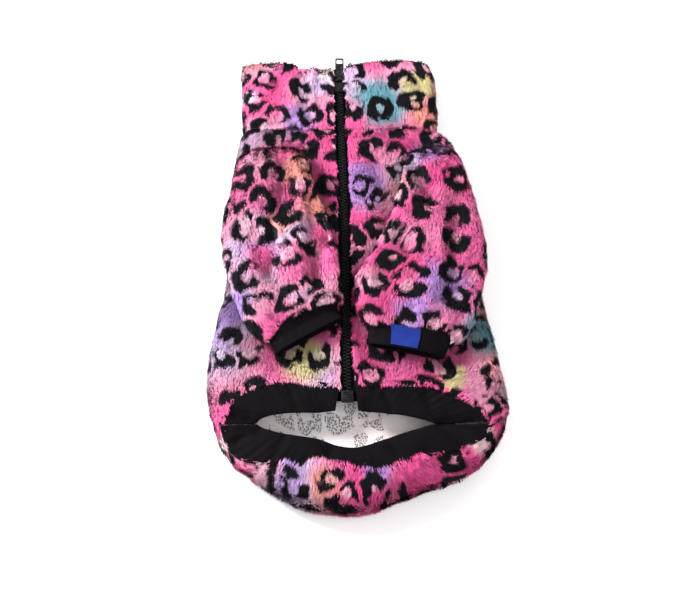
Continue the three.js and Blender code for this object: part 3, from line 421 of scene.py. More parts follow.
@dataclass
class Sheet:
    """A stretch of cloth as rows and columns of points on its face, in the drawing's millimetres.

    Args:
        face: points of the pile's outer surface, as rows, columns, 3.
        outward: a vector for each point that leaves the cloth on its face side.
        round: whether the last column joins the first.
        printed_from: where this piece was cut from the printed cloth.
        flat: the points' places on the printed cloth, if known.
    """

    FLAT_STEP = 8.0

    face: Array
    outward: Array
    round: bool = False
    printed_from: tuple[float, float] = (0.0, 0.0)
    flat: Array | None = None
    normal: Array = field(init=False)
    nap: Array = field(init=False)

    def __post_init__(self) -> None:
        """Works out the normals, the way the pile runs and the flat print coordinates."""
        if self.round:
            across = np.roll(self.face, -1, 1) - np.roll(self.face, 1, 1)
        else:
            across = np.gradient(self.face, axis=1)
        down = np.gradient(self.face, axis=0)
        self.normal = unit(np.cross(across, down))
        if (self.normal * self.outward).sum() < 0:
            self.normal = -self.normal
        self.nap = unit(down)
        if self.flat is None:
            self.flat = self._laid_out() + np.array(self.printed_from)

    def closed(self, grid: Array) -> Array:
        """A grid of the sheet with its first column again at the end, if the sheet is round."""
        return np.concatenate([grid, grid[:, :1]], 1) if self.round else grid

    def _laid_out(self) -> Array:
        """Flat places of the points, with one more column at the end of a round sheet.

        Returns:
            The places, as rows, columns, 2.
        """
        face = self.closed(self.face)
        width = np.pad(np.cumsum(np.linalg.norm(np.diff(face, axis=1), axis=2), 1), ((0, 0), (1, 0)))
        length = np.pad(np.cumsum(np.linalg.norm(np.diff(face, axis=0), axis=2), 0), ((1, 0), (0, 0)))
        lean = (unit(np.gradient(face, axis=1)) * unit(np.gradient(face, axis=0))).sum(2)
        few = [max(5, int(span.mean() / self.FLAT_STEP)) for span in (length[-1], width[:, -1])]
        flat = laid_out(*(resample(grid, *few) for grid in (width, length, lean)))
        for count in face.shape[:2]:
            flat = smooth_rows(flat, np.linspace(0, 1, count)).transpose(1, 0, 2)
        return flat

    def thinned(self, rows: int, columns: int) -> "Sheet":
        """The same sheet with fewer rows and columns, for the cloth that its pile hides.

        Args:
            rows: how many rows to keep.
            columns: how many columns.

        Returns:
            The thinned sheet.
        """
        last = self.face.shape[1] - (0 if self.round else 1)
        down = np.linspace(0, self.face.shape[0] - 1, rows).round().astype(int)
        across = np.linspace(0, last, columns, endpoint=not self.round).round().astype(int)
        flat = self.flat[down][:, np.append(across, last) if self.round else across]
        return Sheet(self.face[down][:, across], self.outward[down][:, across], self.round, flat=flat)

    def facing_down(self, low: float, high: float) -> Array:
        """How much each cell faces the floor, from 0 at low to 1 at high."""
        columns = self.face.shape[1] - (0 if self.round else 1)
        return smoothstep(-self.normal[:-1, :columns, 2], low, high)

    def at_depth(self, depth: float | Array) -> Array:
        """The cloth's points at a depth under its face."""
        return self.face - self.normal * (depth if np.isscalar(depth) else depth[..., None])

    def cell_areas(self) -> Array:
        """Area of each cell of the face in square millimetres."""
        grid = self.closed(self.face)
        diagonals = np.cross(grid[1:, 1:] - grid[:-1, :-1], grid[1:, :-1] - grid[:-1, 1:])
        return np.linalg.norm(diagonals, axis=2) / 2


def sides_of(girth: Array) -> tuple[Array, Array]:
    """The side's sign and the turn from the zip, for girths from 0 to 7."""
    left = girth <= 3.5
    return np.where(left, -1.0, 1.0), np.where(left, girth, 7 - girth)


def fold_share(girth: Array) -> Array:
    """How much of a belly fold reaches a girth: all on the flat belly, none under the side seam."""
    _, turn = sides_of(girth)
    return np.clip(np.cos(np.clip(turn - 1, 0, 2) * QUARTER), 0, 1)


def under_share(girth: Array) -> Array:
    """How much of a back crease reaches a girth: all on the flat underside, none on the rounded side."""
    _, turn = sides_of(girth)
    return smoothstep(turn, 2.6, 3.0)


def girth_steps(*spans: tuple[float, float, int]) -> Array:
    """Girths in even steps along spans that follow each other, each with its ends and its count."""
    steps = [np.linspace(*span)[1 if number else 0 :] for number, span in enumerate(spans)]
    return np.concatenate(steps)


def round_angles(count: int) -> Array:
    """Even places round a tube, from under its far edge."""
    return -QUARTER + np.arange(count) / count * 2 * math.pi


class Relief:
    """How deep places lie among their neighbours, from a map of the laid coat's top, for the pile's painted shade."""

    STEP = 4.0
    LOW = np.array([-160.0, -250.0])
    CELLS = (84, 140)
    REACH = 6
    DEEP = 8.0

    def __init__(self, surfaces: list[Array]) -> None:
        """Maps the highest point of each cell, closes small gaps and smooths the map.

        Args:
            surfaces: points of the laid coat, last axis x, y and z.
        """
        top = np.zeros(self.CELLS)
        for points in surfaces:
            column, row = ((points[..., :2] - self.LOW) / self.STEP).astype(int).reshape(-1, 2).T
            np.maximum.at(top, (column, row), points[..., 2].ravel())
        for axis in (0, 0, 1):
            beside = np.maximum(np.roll(top, 1, axis), np.roll(top, -1, axis))
            top = np.where(top > 0, top, beside)
        share = np.exp(-np.linspace(-2, 2, 2 * self.REACH + 1) ** 2)
        self.smooth = top
        for axis in (0, 1):
            self.smooth = np.apply_along_axis(np.convolve, axis, self.smooth, share / share.sum(), "same")

    def depth(self, points: Array) -> Array:
        """From 0 for open places to 1 for those deep in a fold or beside a sleeve.

        Args:
            points: the places, one a row.

        Returns:
            A value for each place.
        """
        place = np.clip((points[:, :2] - self.LOW) / self.STEP - 0.5, 0, np.array(self.CELLS) - 1.001)
        first = place.astype(int)
        u, v = (place - first).T
        column, row = first.T
        near = lerp(self.smooth[column, row], self.smooth[column + 1, row], u)
        far = lerp(self.smooth[column, row + 1], self.smooth[column + 1, row + 1], u)
        return np.clip((lerp(near, far, v) - points[:, 2]) / self.DEEP, 0, 1)


class CoatPlan:
    """The laid coat's surfaces. Girth runs from 0 at the zip's left edge to 7 at its right edge.

    From 0 to 1 lies the flat belly, 1 to 2 the rounded side, with its seam at 2, 2 to 3 the side
    under the seam, 3 to 4 the flat back, and 4 to 7 the same at the right.
    """

    def __init__(self) -> None:
        """Draws the smooth lines of the hem and maps the relief."""
        self.tail = SmoothLine(TAIL_OUTLINE)
        self.back_seam = SmoothLine(BACK_SEAM)
        self.mouth_back = SmoothLine(MOUTH_BACK)
        self.belly_seams = {side: SmoothLine(BELLY_SEAMS[side]) for side in Side}
        self.mouths = {side: SmoothLine(MOUTHS[side]) for side in Side}
        edge = SmoothLine(COLLAR_FRONT_EDGE).at(np.linspace(0, 1, 121))
        self.collar_edge = {"x": edge[:, 0], "y": edge[:, 1]}
        girths, angles = np.linspace(0, 7, 320), np.linspace(-math.pi, math.pi, 120)
        tubes = (self.sleeve(side, 100, angles) for side in Side)
        shares = np.linspace(0, 1, 200)
        self.relief = Relief([self.body(girths, shares), self.collar(girths, shares[::3]), *tubes])

    @staticmethod
    def zip_x(y: Array) -> Array:
        """The zip's centre line."""
        return column_at(ZIP_LINE, "y", y, "x")

    @staticmethod
    def height_at(y: Array) -> Array:
        """Height of the flattened coat at a place along its length."""
        collar = lerp(NECK_HEIGHT, COLLAR_TOP_HEIGHT, (y - NECK_Y) / (COLLAR_TOP_Y - NECK_Y))
        body = lerp(NECK_HEIGHT, HEM_HEIGHT, (NECK_Y - y) / (NECK_Y - BELLY_HEM_Y))
        return np.where(y > NECK_Y, collar, body)

    def section(self, y: Array, left: Array, right: Array, girth: Array) -> tuple[Array, Array]:
        """A ring of the flattened tube.

        Args:
            y: place along the coat.
            left: X of its left edge.
            right: X of its right edge.
            girth: places round the ring.

        Returns:
            The points, and for each the way into the cloth.
        """
        sign, turn = sides_of(girth)
        y = np.broadcast_to(y, girth.shape).astype(float)
        radius = self.height_at(y) / 2
        flat_end = np.where(sign < 0, left, right) - sign * radius
        angle = np.clip(turn - 1, 0, 2) * QUARTER
        x = flat_end + sign * radius * np.sin(angle)
        x = np.where(turn <= 1, lerp(self.zip_x(y) + sign * ZIP_EDGE, flat_end, turn), x)
        x = np.where((girth > 3) & (girth < 4), lerp(left + radius, right - radius, girth - 3), x)
        point = np.stack([x, y, radius + radius * np.cos(angle)], -1)
        return point, np.stack([-sign * np.sin(angle), 0 * x, -np.cos(angle)], -1)

    @staticmethod
    def tail_share(girth: Array, spread: float) -> Array:
        """Share of the tail outline at a girth, with its rounded sides opened by a ring's spread.

        Args:
            girth: places round the coat, from 0 to 7.
            spread: how far the sides are opened, 0 to 1.

        Returns:
            The shares.
        """
        side = SIDE_SHARE * spread
        share = lerp(side, 1 - side, girth - 3)
        share = np.where(girth < 3, side * (girth - 2), share)
        return np.where(girth > 4, 1 - side * (5 - girth), share)

    def tail_ring(self, ring: dict[str, float], girth: Array) -> tuple[Array, Array]:
        """The back panel in a hem ring: under the outline, on it, or rolled over to the band.

        Args:
            ring: a row of the hem table.
            girth: places round the coat, from 0 to 7.

        Returns:
            The points, and for each the way into the cloth.
        """
        share = lerp(ring["start"], 1 - ring["start"], self.tail_share(girth, ring["spread"]))
        point = self.tail.at(share)
        if ring["reach"] > 0:
            across = self.back_seam.at(self.tail_share(girth, 1)) - point
            length = np.linalg.norm(across, axis=1)
            distance = ring["reach"] * length
            cosine = np.clip((HEM_RADIUS - distance) / HEM_RADIUS, 0, 1)
            sine = np.sqrt(1 - cosine**2)
            inwards = unit(across)
            point = point + inwards * distance[:, None]
            point[:, 2] = HEM_RADIUS * (1 + sine)
            inward = inwards * cosine[:, None]
            inward[:, 2] = -sine
            return point, inward
        way = self.tail.way(share)
        inwards = np.stack([-way[:, 1], way[:, 0], 0 * share], 1)
        under = math.radians(ring["roll"]) * np.clip(np.minimum(girth - 2, 5 - girth), 0, 1)
        point = point + inwards * (HEM_RADIUS * (1 - np.cos(under)))[:, None]
        point[:, 2] = HEM_RADIUS * (1 - np.sin(under))
        inward = inwards * np.cos(under)[:, None]
        inward[:, 2] = np.sin(under)
        return point, inward

    def belly_way(self, sign: Array, turn: Array, share: float) -> tuple[Array, Array]:
        """The belly between where it runs out towards the hem and where it ends at the band.

        Args:
            sign: the side of each place.
            turn: its turn from the zip.
            share: how far towards the band.

        Returns:
            The points, and for each the way into the cloth.
        """
        corner = np.where(sign < 0, TAIL_OUTLINE["x"][0], TAIL_OUTLINE["x"][-1])
        y = lerp(BELLY_RUNOUT_Y, TAIL_OUTLINE["y"][0], turn / 2)
        flat_end = corner - sign * HEM_RADIUS
        angle = np.clip(turn - 1, 0, 1) * QUARTER
        x = flat_end + sign * HEM_RADIUS * np.sin(angle)
        x = np.where(turn <= 1, lerp(self.zip_x(y) + sign * ZIP_EDGE, flat_end, turn), x)
        z = np.where(turn <= 1, self.height_at(y), HEM_RADIUS * (1 + np.cos(angle)))
        start = np.stack([x, y, z], -1)
        start_in = np.stack([-sign * np.sin(angle), 0 * x, -np.cos(angle)], -1)
        end = self.belly_edge(sign, turn)
        return lerp(start, end, share), lerp(start_in, np.array([0.0, 0.0, -1.0]), share)

    def belly_edge(self, sign: Array, turn: Array) -> Array:
        """The belly's edge along the hem band.

        Args:
            sign: the side of each place.
            turn: its turn from the zip.

        Returns:
            The points.
        """
        end = np.where(
            (sign < 0)[:, None],
            self.belly_seams[Side.LEFT].at(self.edge_share(turn)),
            self.belly_seams[Side.RIGHT].at(self.edge_share(turn)),
        )
        end[:, 2] = self.height_at(end[:, 1])
        return end

    @staticmethod
    def edge_share(turn: Array) -> Array:
        """Share of the belly's hem seam at a turn from the zip."""
        return np.where(turn <= 1, BELLY_FLAT_SHARE * turn, lerp(BELLY_FLAT_SHARE, 1, turn - 1))

    def hem_ring(self, ring: dict[str, float], girth: Array) -> tuple[Array, Array]:
        """A hem ring all round: the tail's part, and a belly part that meets it at both seams.

        Args:
            ring: a row of the hem table.
            girth: places round the coat, from 0 to 7.

        Returns:
            The points, and for each the way into the cloth.
        """
        sign, turn = sides_of(girth)
        point, inward = self.tail_ring(ring, np.clip(girth, 2, 5))
        seam = np.where(sign < 0, 2.0, 5.0)
        seam_point, seam_in = self.tail_ring(ring, seam)
        own_point, own_in = self.belly_way(sign, np.full(turn.shape, 2.0), ring["belly"])
        here, here_in = self.belly_way(sign, np.minimum(turn, 2), ring["belly"])
        pull = (np.clip(turn - 1, 0, 1) ** 2)[:, None]
        here = here + (seam_point - own_point) * pull
        here_in = unit(here_in + (seam_in - own_in) * pull)
        back = (turn >= 2)[:, None]
        return np.where(back, point, here), np.where(back, inward, here_in)

    def body(self, girths: Array, shares: Array, depth: float = 0.0) -> Array:
        """Points on the body at a depth under its face, with its main folds and small creases.

        Args:
            girths: places round the coat, from 0 to 7.
            shares: places along it, from neck to hem.
            depth: how far under the face.

        Returns:
            The points, as rows, columns, 3.
        """
        points = []
        for y, left, right in zip(*(BODY_SECTIONS[name] for name in ("y", "left", "right"))):
            point, inward = self.section(y, left, right, girths)
            points.append(point + inward * depth)
        points[0][:, 1] -= SEAM / 2
        for row in zip(*HEM_RINGS.values()):
            point, inward = self.hem_ring(dict(zip(HEM_RINGS, row)), girths)
            points.append(point + inward * depth)
        grid = smooth_rows(np.array(points), shares)
        x, y = grid[..., 0], grid[..., 1]
        grid[..., 2] += (fold_at(BELLY_FOLDS, x, y) + fold_at(BELLY_CREASES, x, y)) * fold_share(girths)
        grid[..., 2] -= fold_at(BACK_CREASES, x, y) * under_share(girths)
        return grid

    def collar(self, girths: Array, shares: Array, depth: float = 0.0) -> Array:
        """Points on the collar at a depth under its face, from the neck seam to near its top fold.

        Args:
            girths: places round the coat, from 0 to 7.
            shares: places up it, from neck to fold.
            depth: how far under the face.

        Returns:
            The points, as rows, columns, 3.
        """
        _, turn = sides_of(girths)
        left, right = (column_at(COLLAR_SECTIONS, "y", COLLAR_TOP_Y, name) for name in ("left", "right"))
        reach, _ = self.section(COLLAR_TOP_Y, left, right, girths)
        front = column_at(self.collar_edge, "x", reach[:, 0], "y")
        top = lerp(front, COLLAR_TOP_Y, smoothstep(turn, 1, 2.6))
        rows = []
        for share in shares:
            y = lerp(NECK_Y + SEAM / 2, top - COLLAR_WALL / 2, share)
            left, right = (column_at(COLLAR_SECTIONS, "y", y, name) for name in ("left", "right"))
            point, inward = self.section(y, left, right, girths)
            creases = fold_at(COLLAR_FOLDS, point[:, 0], y) + fold_at(COLLAR_CREASES, point[:, 0], y)
            point[:, 2] += creases * fold_share(girths)
            point[:, 2] -= fold_at(BACK_CREASES, point[:, 0], y) * under_share(girths)
            rows.append(point + inward * depth)
        return np.array(rows)

    def belly_top(self, x: Array, y: Array, lying: Array) -> Array:
        """Top of the belly under a sleeve. Near the armhole it follows the rounded side.

        Args:
            x: places on the plan, across.
            y: the same places, along.
            lying: 1 where the sleeve lies on the belly, 0 at the armhole.

        Returns:
            The heights.
        """
        flat = self.height_at(y) + fold_at(BELLY_FOLDS, x, y)
        radius = self.height_at(y) / 2
        left, right = (column_at(BODY_SECTIONS, "y", y, name) for name in ("left", "right"))
        inside = np.clip(np.minimum(x - left, right - x), 0, radius)
        fall = radius - np.sqrt(radius**2 - (radius - inside) ** 2)
        return flat - fall * (1 - lying)

    def sleeve(self, side: Side, count: int, angles: Array, depth: float = 0.0) -> Array:
        """Points on a sleeve at a depth under its face, in a number of rings."""
        rows = refine(SLEEVES[side], np.linspace(0, 1, count))
        return self.tube(rows, angles, depth, SLEEVE_FOLDS[side], SLEEVE_CREASES[side])

    def tube(self, rows: Table, angles: Array, depth: float, *folds: Table) -> Array:
        """A flattened tube that lies on the belly, inset by a depth into its wall.

        Args:
            rows: its edges, height, fold and lift, one row a ring.
            angles: places round the tube, 0 at its far edge and a quarter turn at its top.
            depth: how far under its face.
            folds: tables of its folds and creases.

        Returns:
            The points, as rows, columns, 3.
        """
        far = np.stack([rows["farX"], rows["farY"]], -1)
        near = np.stack([rows["nearX"], rows["nearY"]], -1)
        half_width = np.linalg.norm(far - near, axis=1) / 2
        across = unit(far - near)
        down = np.stack([across[:, 1], -across[:, 0]], -1)
        down = down * np.sign(-down[:, 1])[:, None]
        turned = np.radians(rows["fold"])[:, None]
        rise = self.rounded(np.sin(angles))[None]
        run = self.rounded(np.cos(angles))[None]
        half_height = (rows["height"] / 2)[:, None]
        middle = ((far + near) / 2)[:, None]
        plan = middle + across[:, None] * ((half_width - depth)[:, None] * run)[..., None]
        plan = plan - down[:, None] * (np.cos(turned) * (half_height - depth) * rise)[..., None]
        lying = np.sin(turned)
        lift = lying * (depth + (half_height - depth) * (1 + rise))
        x, y = plan[..., 0], plan[..., 1]
        crease = sum(fold_at(fold, x, y) for fold in folds) * lying * np.clip(rise, 0, 1)
        off = rows.get("lift", np.zeros(len(far)))[:, None]
        z = self.belly_top(x, y, lying) + SLEEVE_REST + lift + crease + off
        return np.concatenate([plan, z[..., None]], -1)

    @staticmethod
    def rounded(value: Array) -> Array:
        """A sine or cosine of a circle, squared up to the sleeve's flattened section."""
        return np.sign(value) * np.abs(value) ** (2 / TUBE_SQUARENESS)

    def tape_top(self, x: Array, y: Array) -> Array:
        """Height of the zip tape's face, just under the plush."""
        wall = lerp(PLUSH, COLLAR_WALL, smoothstep(y, 160, 176))
        folds = np.where(y > NECK_Y, fold_at(COLLAR_FOLDS, x, y), fold_at(BELLY_FOLDS, x, y))
        return self.height_at(y) + folds - wall - SEAM


def refine(rows: Table, shares: Array) -> Table:
    """Rows between the rows of a table, every column on a smooth curve.

    Args:
        rows: the table.
        shares: where to read it, from 0 at its first row to 1 at its last.

    Returns:
        A table with one row for each share.
    """
    count = len(next(iter(rows.values())))
    place = shares * (count - 1)
    first = np.minimum(place.astype(int), count - 2)
    t = place - first
    made = {}
    for name, values in rows.items():
        before, start = values[np.maximum(first - 1, 0)], values[first]
        end, after = values[first + 1], values[np.minimum(first + 2, count - 1)]
        made[name] = (
            (2 * t**3 - 3 * t**2 + 1) * start
            + (t**3 - 2 * t**2 + t) * (end - before) / 2
            + (3 * t**2 - 2 * t**3) * end
            + (t**3 - t**2) * (after - start) / 2
        )
    return made


def fill_mesh(name: str, points: Array, faces: list[Array]) -> Piece:
    """Makes an object from points in metres and arrays of faces.

    Args:
        name: the piece's name.
        points: one point a row.
        faces: arrays of corner numbers, each array with one face a row.

    Returns:
        The object, linked to the scene and smooth.
    """
    mesh = bpy.data.meshes.new(name)
    mesh.vertices.add(len(points))
    mesh.vertices.foreach_set("co", points.astype(np.float32).ravel())
    corners = np.concatenate([block.ravel() for block in faces])
    sizes = np.concatenate([np.full(len(block), block.shape[1]) for block in faces])
    mesh.loops.add(len(corners))
    mesh.loops.foreach_set("vertex_index", corners.astype(np.int32))
    mesh.polygons.add(len(sizes))
    mesh.polygons.foreach_set("loop_start", np.concatenate([[0], np.cumsum(sizes)[:-1]]).astype(np.int32))
    mesh.polygons.foreach_set("use_smooth", np.ones(len(sizes), bool))
    mesh.update(calc_edges=True)
    mesh.validate()
    made = bpy.data.objects.new(name, mesh)
    bpy.context.scene.collection.objects.link(made)
    return made


def mark(obj: Piece, name: str, values: Array) -> None:
    """Stores a number or a vector at each point of a piece, for its material."""
    kind, key = ("FLOAT", "value") if values.ndim == 1 else ("FLOAT_VECTOR", "vector")
    obj.data.attributes.new(name, kind, "POINT").data.foreach_set(key, values.astype(np.float32).ravel())


def only(obj: Piece) -> None:
    """Selects one object and makes it active."""
    for other in bpy.context.selected_objects:
        other.select_set(False)
    bpy.context.view_layer.objects.active = obj
    obj.select_set(True)


def apply(obj: Piece, kind: str, **settings: object) -> None:
    """Adds a modifier with its settings and applies it.

    Args:
        obj: the piece.
        kind: the modifier's type.
        settings: its settings, by name.
    """
    modifier = obj.modifiers.new(kind.lower(), kind)
    for name, value in settings.items():
        setattr(modifier, name, value)
    only(obj)
    bpy.ops.object.modifier_apply(modifier=modifier.name)


def settle(obj: Piece, replaces: tuple[str, ...] = (), body: Body = Body.COAT) -> Piece:
    """Puts a finished piece on its body and the nodes that it stands for.

    Args:
        obj: the piece.
        replaces: the nodes that it stands for.
        body: the body that it rides on.

    Returns:
        The same piece.
    """
    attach(obj, body.value)
    if replaces:
        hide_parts(*replaces)
    obj.data.calc_loop_triangles()
    log.info("%s: %d triangles", obj.name, len(obj.data.loop_triangles))
    return obj


def log_area(name: str, sheet: Sheet) -> None:
    """Logs the area of a piece's face in square metres."""
    log.info("%s face area %.4f m2", name, sheet.cell_areas().sum() * METRES**2)


def cloth(
    name: str, sheet: Sheet, depth: float | Array, thick: float, finishes: list[Material],
    keep: Array | None = None,
) -> Piece:
    """Makes a thin cloth wall from a sheet, with its face and its reverse.

    Args:
        name: the piece's name.
        sheet: its rows and columns of points.
        depth: how far under the sheet's face the cloth's own face lies.
        thick: the cloth's thickness.
        finishes: the face's material, then the reverse's.
        keep: which cells are cloth, where some are cut away.

    Returns:
        The finished object.
    """
    rows, columns = sheet.face.shape[:2]
    number = np.arange(rows * columns).reshape(rows, columns)
    after = np.roll(number, -1, 1) if sheet.round else number[:, 1:]
    before = number if sheet.round else number[:, :-1]
    quads = np.stack([before[:-1], before[1:], after[1:], after[:-1]], -1)
    quads = quads[keep] if keep is not None else quads.reshape(-1, 4)
    points = sheet.at_depth(depth).reshape(-1, 3)
    a, b, c = (points[quads[:, i]] for i in range(3))
    if (np.cross(b - a, c - a) * sheet.normal.reshape(-1, 3)[quads[:, 0]]).sum() < 0:
        quads = quads[:, ::-1]
    obj = fill_mesh(name, to_frame(points), [quads])
    mark(obj, "root", to_frame(points))
    flat = sheet.flat[:, :columns].reshape(-1, 2)
    mark(obj, "print_at", np.pad(flat * METRES, ((0, 0), (0, 1))))
    for finish in finishes:
        obj.data.materials.append(finish)
    last = len(finishes) - 1
    apply(
        obj, "SOLIDIFY", thickness=thick * METRES, offset=-1.0, use_rim=True,
        material_offset=last, material_offset_rim=0,
    )
    only(obj)
    bpy.ops.object.shade_smooth_by_angle(angle=math.radians(50))
    return obj


@dataclass
class Pile:
    """Long soft pile, grown as joined locks of flat tapering strands.

    Args:
        length: a strand's length.
        width: its width at the root.
        spacing: how far roots are apart where the pile is full.
        depth: how far under the sheet's face the roots are.
        lean: the strands' rise at the root and at the tip, in degrees.
        lock: how far locks of strands are apart.
        spill: how far the pile bends out over the sheet's side edges.
        relief: which places lie deep, where the pile's colour is darkened as painted shade.
        fringe: how far a strand's print is off its place, which fringes the spots.
        end: where the pile ends, as a share of the sheet's rows, for all columns or each.
        overhang: how far strands may reach past that.
        seed: which random pile.
    """

    length: float = 7.4
    width: float = 0.6
    spacing: float = 0.86
    depth: float = 3.6
    lean: tuple[float, float] = (52.0, 16.0)
    lock: float = 4.0
    spill: float = 0.5
    relief: Relief | None = None
    fringe: float = 1.1
    end: float | Array = 1.0
    overhang: float = 7.0
    seed: int = 1

    def grow(self, name: str, sheet: Sheet, density: Array, finish: Material) -> Piece:
        """Grows the pile on a sheet.

        Args:
            name: the piece's name.
            sheet: the cloth that it grows on.
            density: share of full pile in each cell of the sheet.
            finish: its material.

        Returns:
            The joined strands.
        """
        rng = np.random.default_rng(self.seed)
        root, normal, down, at, edge, ahead, print_down, print_side = self._cells(sheet, density, rng)
        count = len(root)
        side = unit(np.cross(normal, down))
        turn = 0.28 * ripple(at, 42, self.seed + 1) + 0.16 * ripple(at, 14, self.seed + 2)
        turn = turn + rng.normal(0, 0.16, count)
        nap = down * np.cos(turn)[:, None] + side * np.sin(turn)[:, None]
        nap = unit(nap + side * (edge * self.spill)[:, None])
        way = print_down * (nap * down).sum(1, keepdims=True) + print_side * (nap * side).sum(1, keepdims=True)
        side = unit(np.cross(normal, nap))
        base = np.radians(self.lean[0] + 9 * ripple(at, 20, self.seed + 3) + rng.normal(0, 7, count))
        tip = np.radians(self.lean[1] + 12 * ripple(at, 9, self.seed + 4) + rng.normal(0, 9, count))
        half = self.length / 2 * (1 + 0.14 * ripple(at, 17, self.seed + 5) + rng.uniform(-0.16, 0.16, count))
        half = half * np.clip((ahead + self.overhang) / (self.length * 0.8), 0.3, 1)
        root = root - normal * (self.depth + 0.25)
        middle = root + self._bend(half, base, nap, normal)
        end = middle + self._bend(half, tip, nap, normal)
        middle_at = at + way * (half * np.cos(base))[:, None]
        end_at = middle_at + way * (half * np.cos(tip))[:, None]
        lock = self._locks(at)
        for points, pull in ((middle, 0.1), (end, 0.34), (middle_at, 0.1), (end_at, 0.34)):
            self._gather(lock, points, pull)
        roll = rng.normal(0, 0.4, count)
        half_width = self.width / 2 * rng.uniform(0.75, 1.25, count)
        wide = (side * np.cos(roll)[:, None] + normal * np.sin(roll)[:, None]) * half_width[:, None]
        strands = np.stack([root - wide, root + wide, middle - wide * 0.8, middle + wide * 0.8, end], 1)
        strands[..., 2] = np.maximum(strands[..., 2], 0.25)
        first = np.arange(count)[:, None] * 5
        quads = first + np.array([[1, 0, 2, 3]])
        tips = first + np.array([[3, 2, 4]])
        obj = fill_mesh(name, to_frame(strands.reshape(-1, 3)), [quads, tips])
        places = np.stack([at, at, middle_at, middle_at, end_at], 1)
        off = way * rng.normal(0, self.fringe, (count, 1))
        mark(obj, "root", np.repeat(to_frame(root), 5, 0))
        mark(obj, "print_at", np.pad((places + off[:, None]).reshape(-1, 2) * METRES, ((0, 0), (0, 1))))
        mark(obj, "along", np.tile([0, 0, 0.5, 0.5, 1.0], count))
        mark(obj, "tone", np.repeat(rng.random(count), 5))
        facing = normal.copy()
        facing[:, 2] += 0.5 + np.clip(-normal[:, 2], 0, 1)
        mark(obj, "facing", np.repeat(unit(facing), 5, 0))
        # Painted shade: strands that face up and lie deep in a fold or beside a sleeve get a darkening value for their
        # colour.
        hollow = self.relief.depth(root) * smoothstep(normal[:, 2], -0.3, 0.3)
        mark(obj, "hollow", np.repeat(hollow, 5))
        beside = np.stack([-way[:, 1], way[:, 0]], 1) * half_width[:, None]
        self._bake_map(obj, places + beside[:, None] * np.array([-1, 1, -0.8, 0.8, 0])[:, None])
        obj.data.materials.append(finish)
        return obj

    @staticmethod
    def _bend(length: Array, rise: Array, nap: Array, normal: Array) -> Array:
        """Half a strand, leaning along the nap."""
        return length[:, None] * (np.cos(rise)[:, None] * nap + np.sin(rise)[:, None] * normal)

    def _cells(self, sheet: Sheet, density: Array, rng: np.random.Generator) -> tuple[Array, ...]:
        """Picks the roots.

        Args:
            sheet: the cloth that the pile grows on.
            density: share of full pile in each cell.
            rng: the random draws.

        Returns:
            Their points, normals, nap, flat places, nearness to a side edge, distance to the
            pile's end, and the way along and across the nap on the flat cloth.
        """
        face = sheet.closed(sheet.face)
        last = np.round(np.broadcast_to(self.end, face.shape[1]) * (len(face) - 1)).astype(int)
        density = density * (np.arange(len(density))[:, None] < last[:-1])
        grids = [face, sheet.closed(sheet.normal), sheet.closed(sheet.nap), sheet.flat]
        weight = (sheet.cell_areas() * density).ravel()
        total = np.cumsum(weight)
        count = int(total[-1] / self.spacing**2)
        cell = np.searchsorted(total, (np.arange(count) + rng.random(count)) * total[-1] / count)
        row, column = np.divmod(np.minimum(cell, len(weight) - 1), density.shape[1])
        v, u = rng.random((2, count, 1))

        def here(grid: Array) -> Array:
            """A grid's value at every root."""
            top = lerp(grid[row, column], grid[row, column + 1], u)
            return lerp(top, lerp(grid[row + 1, column], grid[row + 1, column + 1], u), v)

        root, normal, nap, flat = (here(grid) for grid in grids)
        normal = unit(normal)
        nap = unit(nap - normal * (nap * normal).sum(1, keepdims=True))
        hand = np.sign((here(np.gradient(face, axis=1)) * np.cross(normal, nap)).sum(1, keepdims=True))
        print_down = unit(here(np.gradient(sheet.flat, axis=0)))
        beside = np.stack([-print_down[:, 1], print_down[:, 0]], 1)
        across = (here(np.gradient(sheet.flat, axis=1)) * beside).sum(1, keepdims=True)
        edge = np.zeros(count)
        if not sheet.round:
            for end, sign in ((0, -1), (-1, 1)):
                away = np.linalg.norm(flat - here(np.broadcast_to(sheet.flat[:, [end]], sheet.flat.shape)), axis=1)
                edge += sign * np.exp(-away / 4)
        foot = np.broadcast_to(sheet.flat[last, np.arange(len(last))], sheet.flat.shape)
        ahead = np.linalg.norm(flat - here(foot), axis=1)
        return root, normal, nap, flat, edge * hand[:, 0], ahead, print_down, beside * hand * np.sign(across)

    def _locks(self, at: Array) -> Array:
        """The number of the lock that each strand belongs to.

        Args:
            at: the strands' flat places.

        Returns:
            Each strand's lock.
        """
        shift = np.stack([ripple(at, 11, self.seed + 6), ripple(at, 13, self.seed + 7)], 1) * self.lock * 0.5
        place = np.floor((at + shift) / self.lock).astype(int)
        _, lock = np.unique(place, axis=0, return_inverse=True)
        return lock.ravel()

    @staticmethod
    def _gather(lock: Array, points: Array, pull: float) -> None:
        """Draws the strands of each lock part of the way together."""
        size = np.bincount(lock)
        mean = np.stack([np.bincount(lock, column) / size for column in points.T], 1)
        points += (mean[lock] - points) * pull

    @staticmethod
    def _bake_map(obj: Piece, places: Array) -> None:
        """Gives the strands a map on which each lies at its place of the flat cloth.

        Args:
            obj: the pile.
            places: flat places of its points.
        """
        flat = places.reshape(-1, 2)
        low, high = flat.min(0), flat.max(0)
        spots = 0.01 + 0.98 * (flat - low) / (high - low)
        corners = np.zeros(len(obj.data.loops), np.int32)
        obj.data.loops.foreach_get("vertex_index", corners)
        layer = obj.data.uv_layers.new(name="OFBake")
        layer.data.foreach_set("uv", spots[corners].astype(np.float32).ravel())


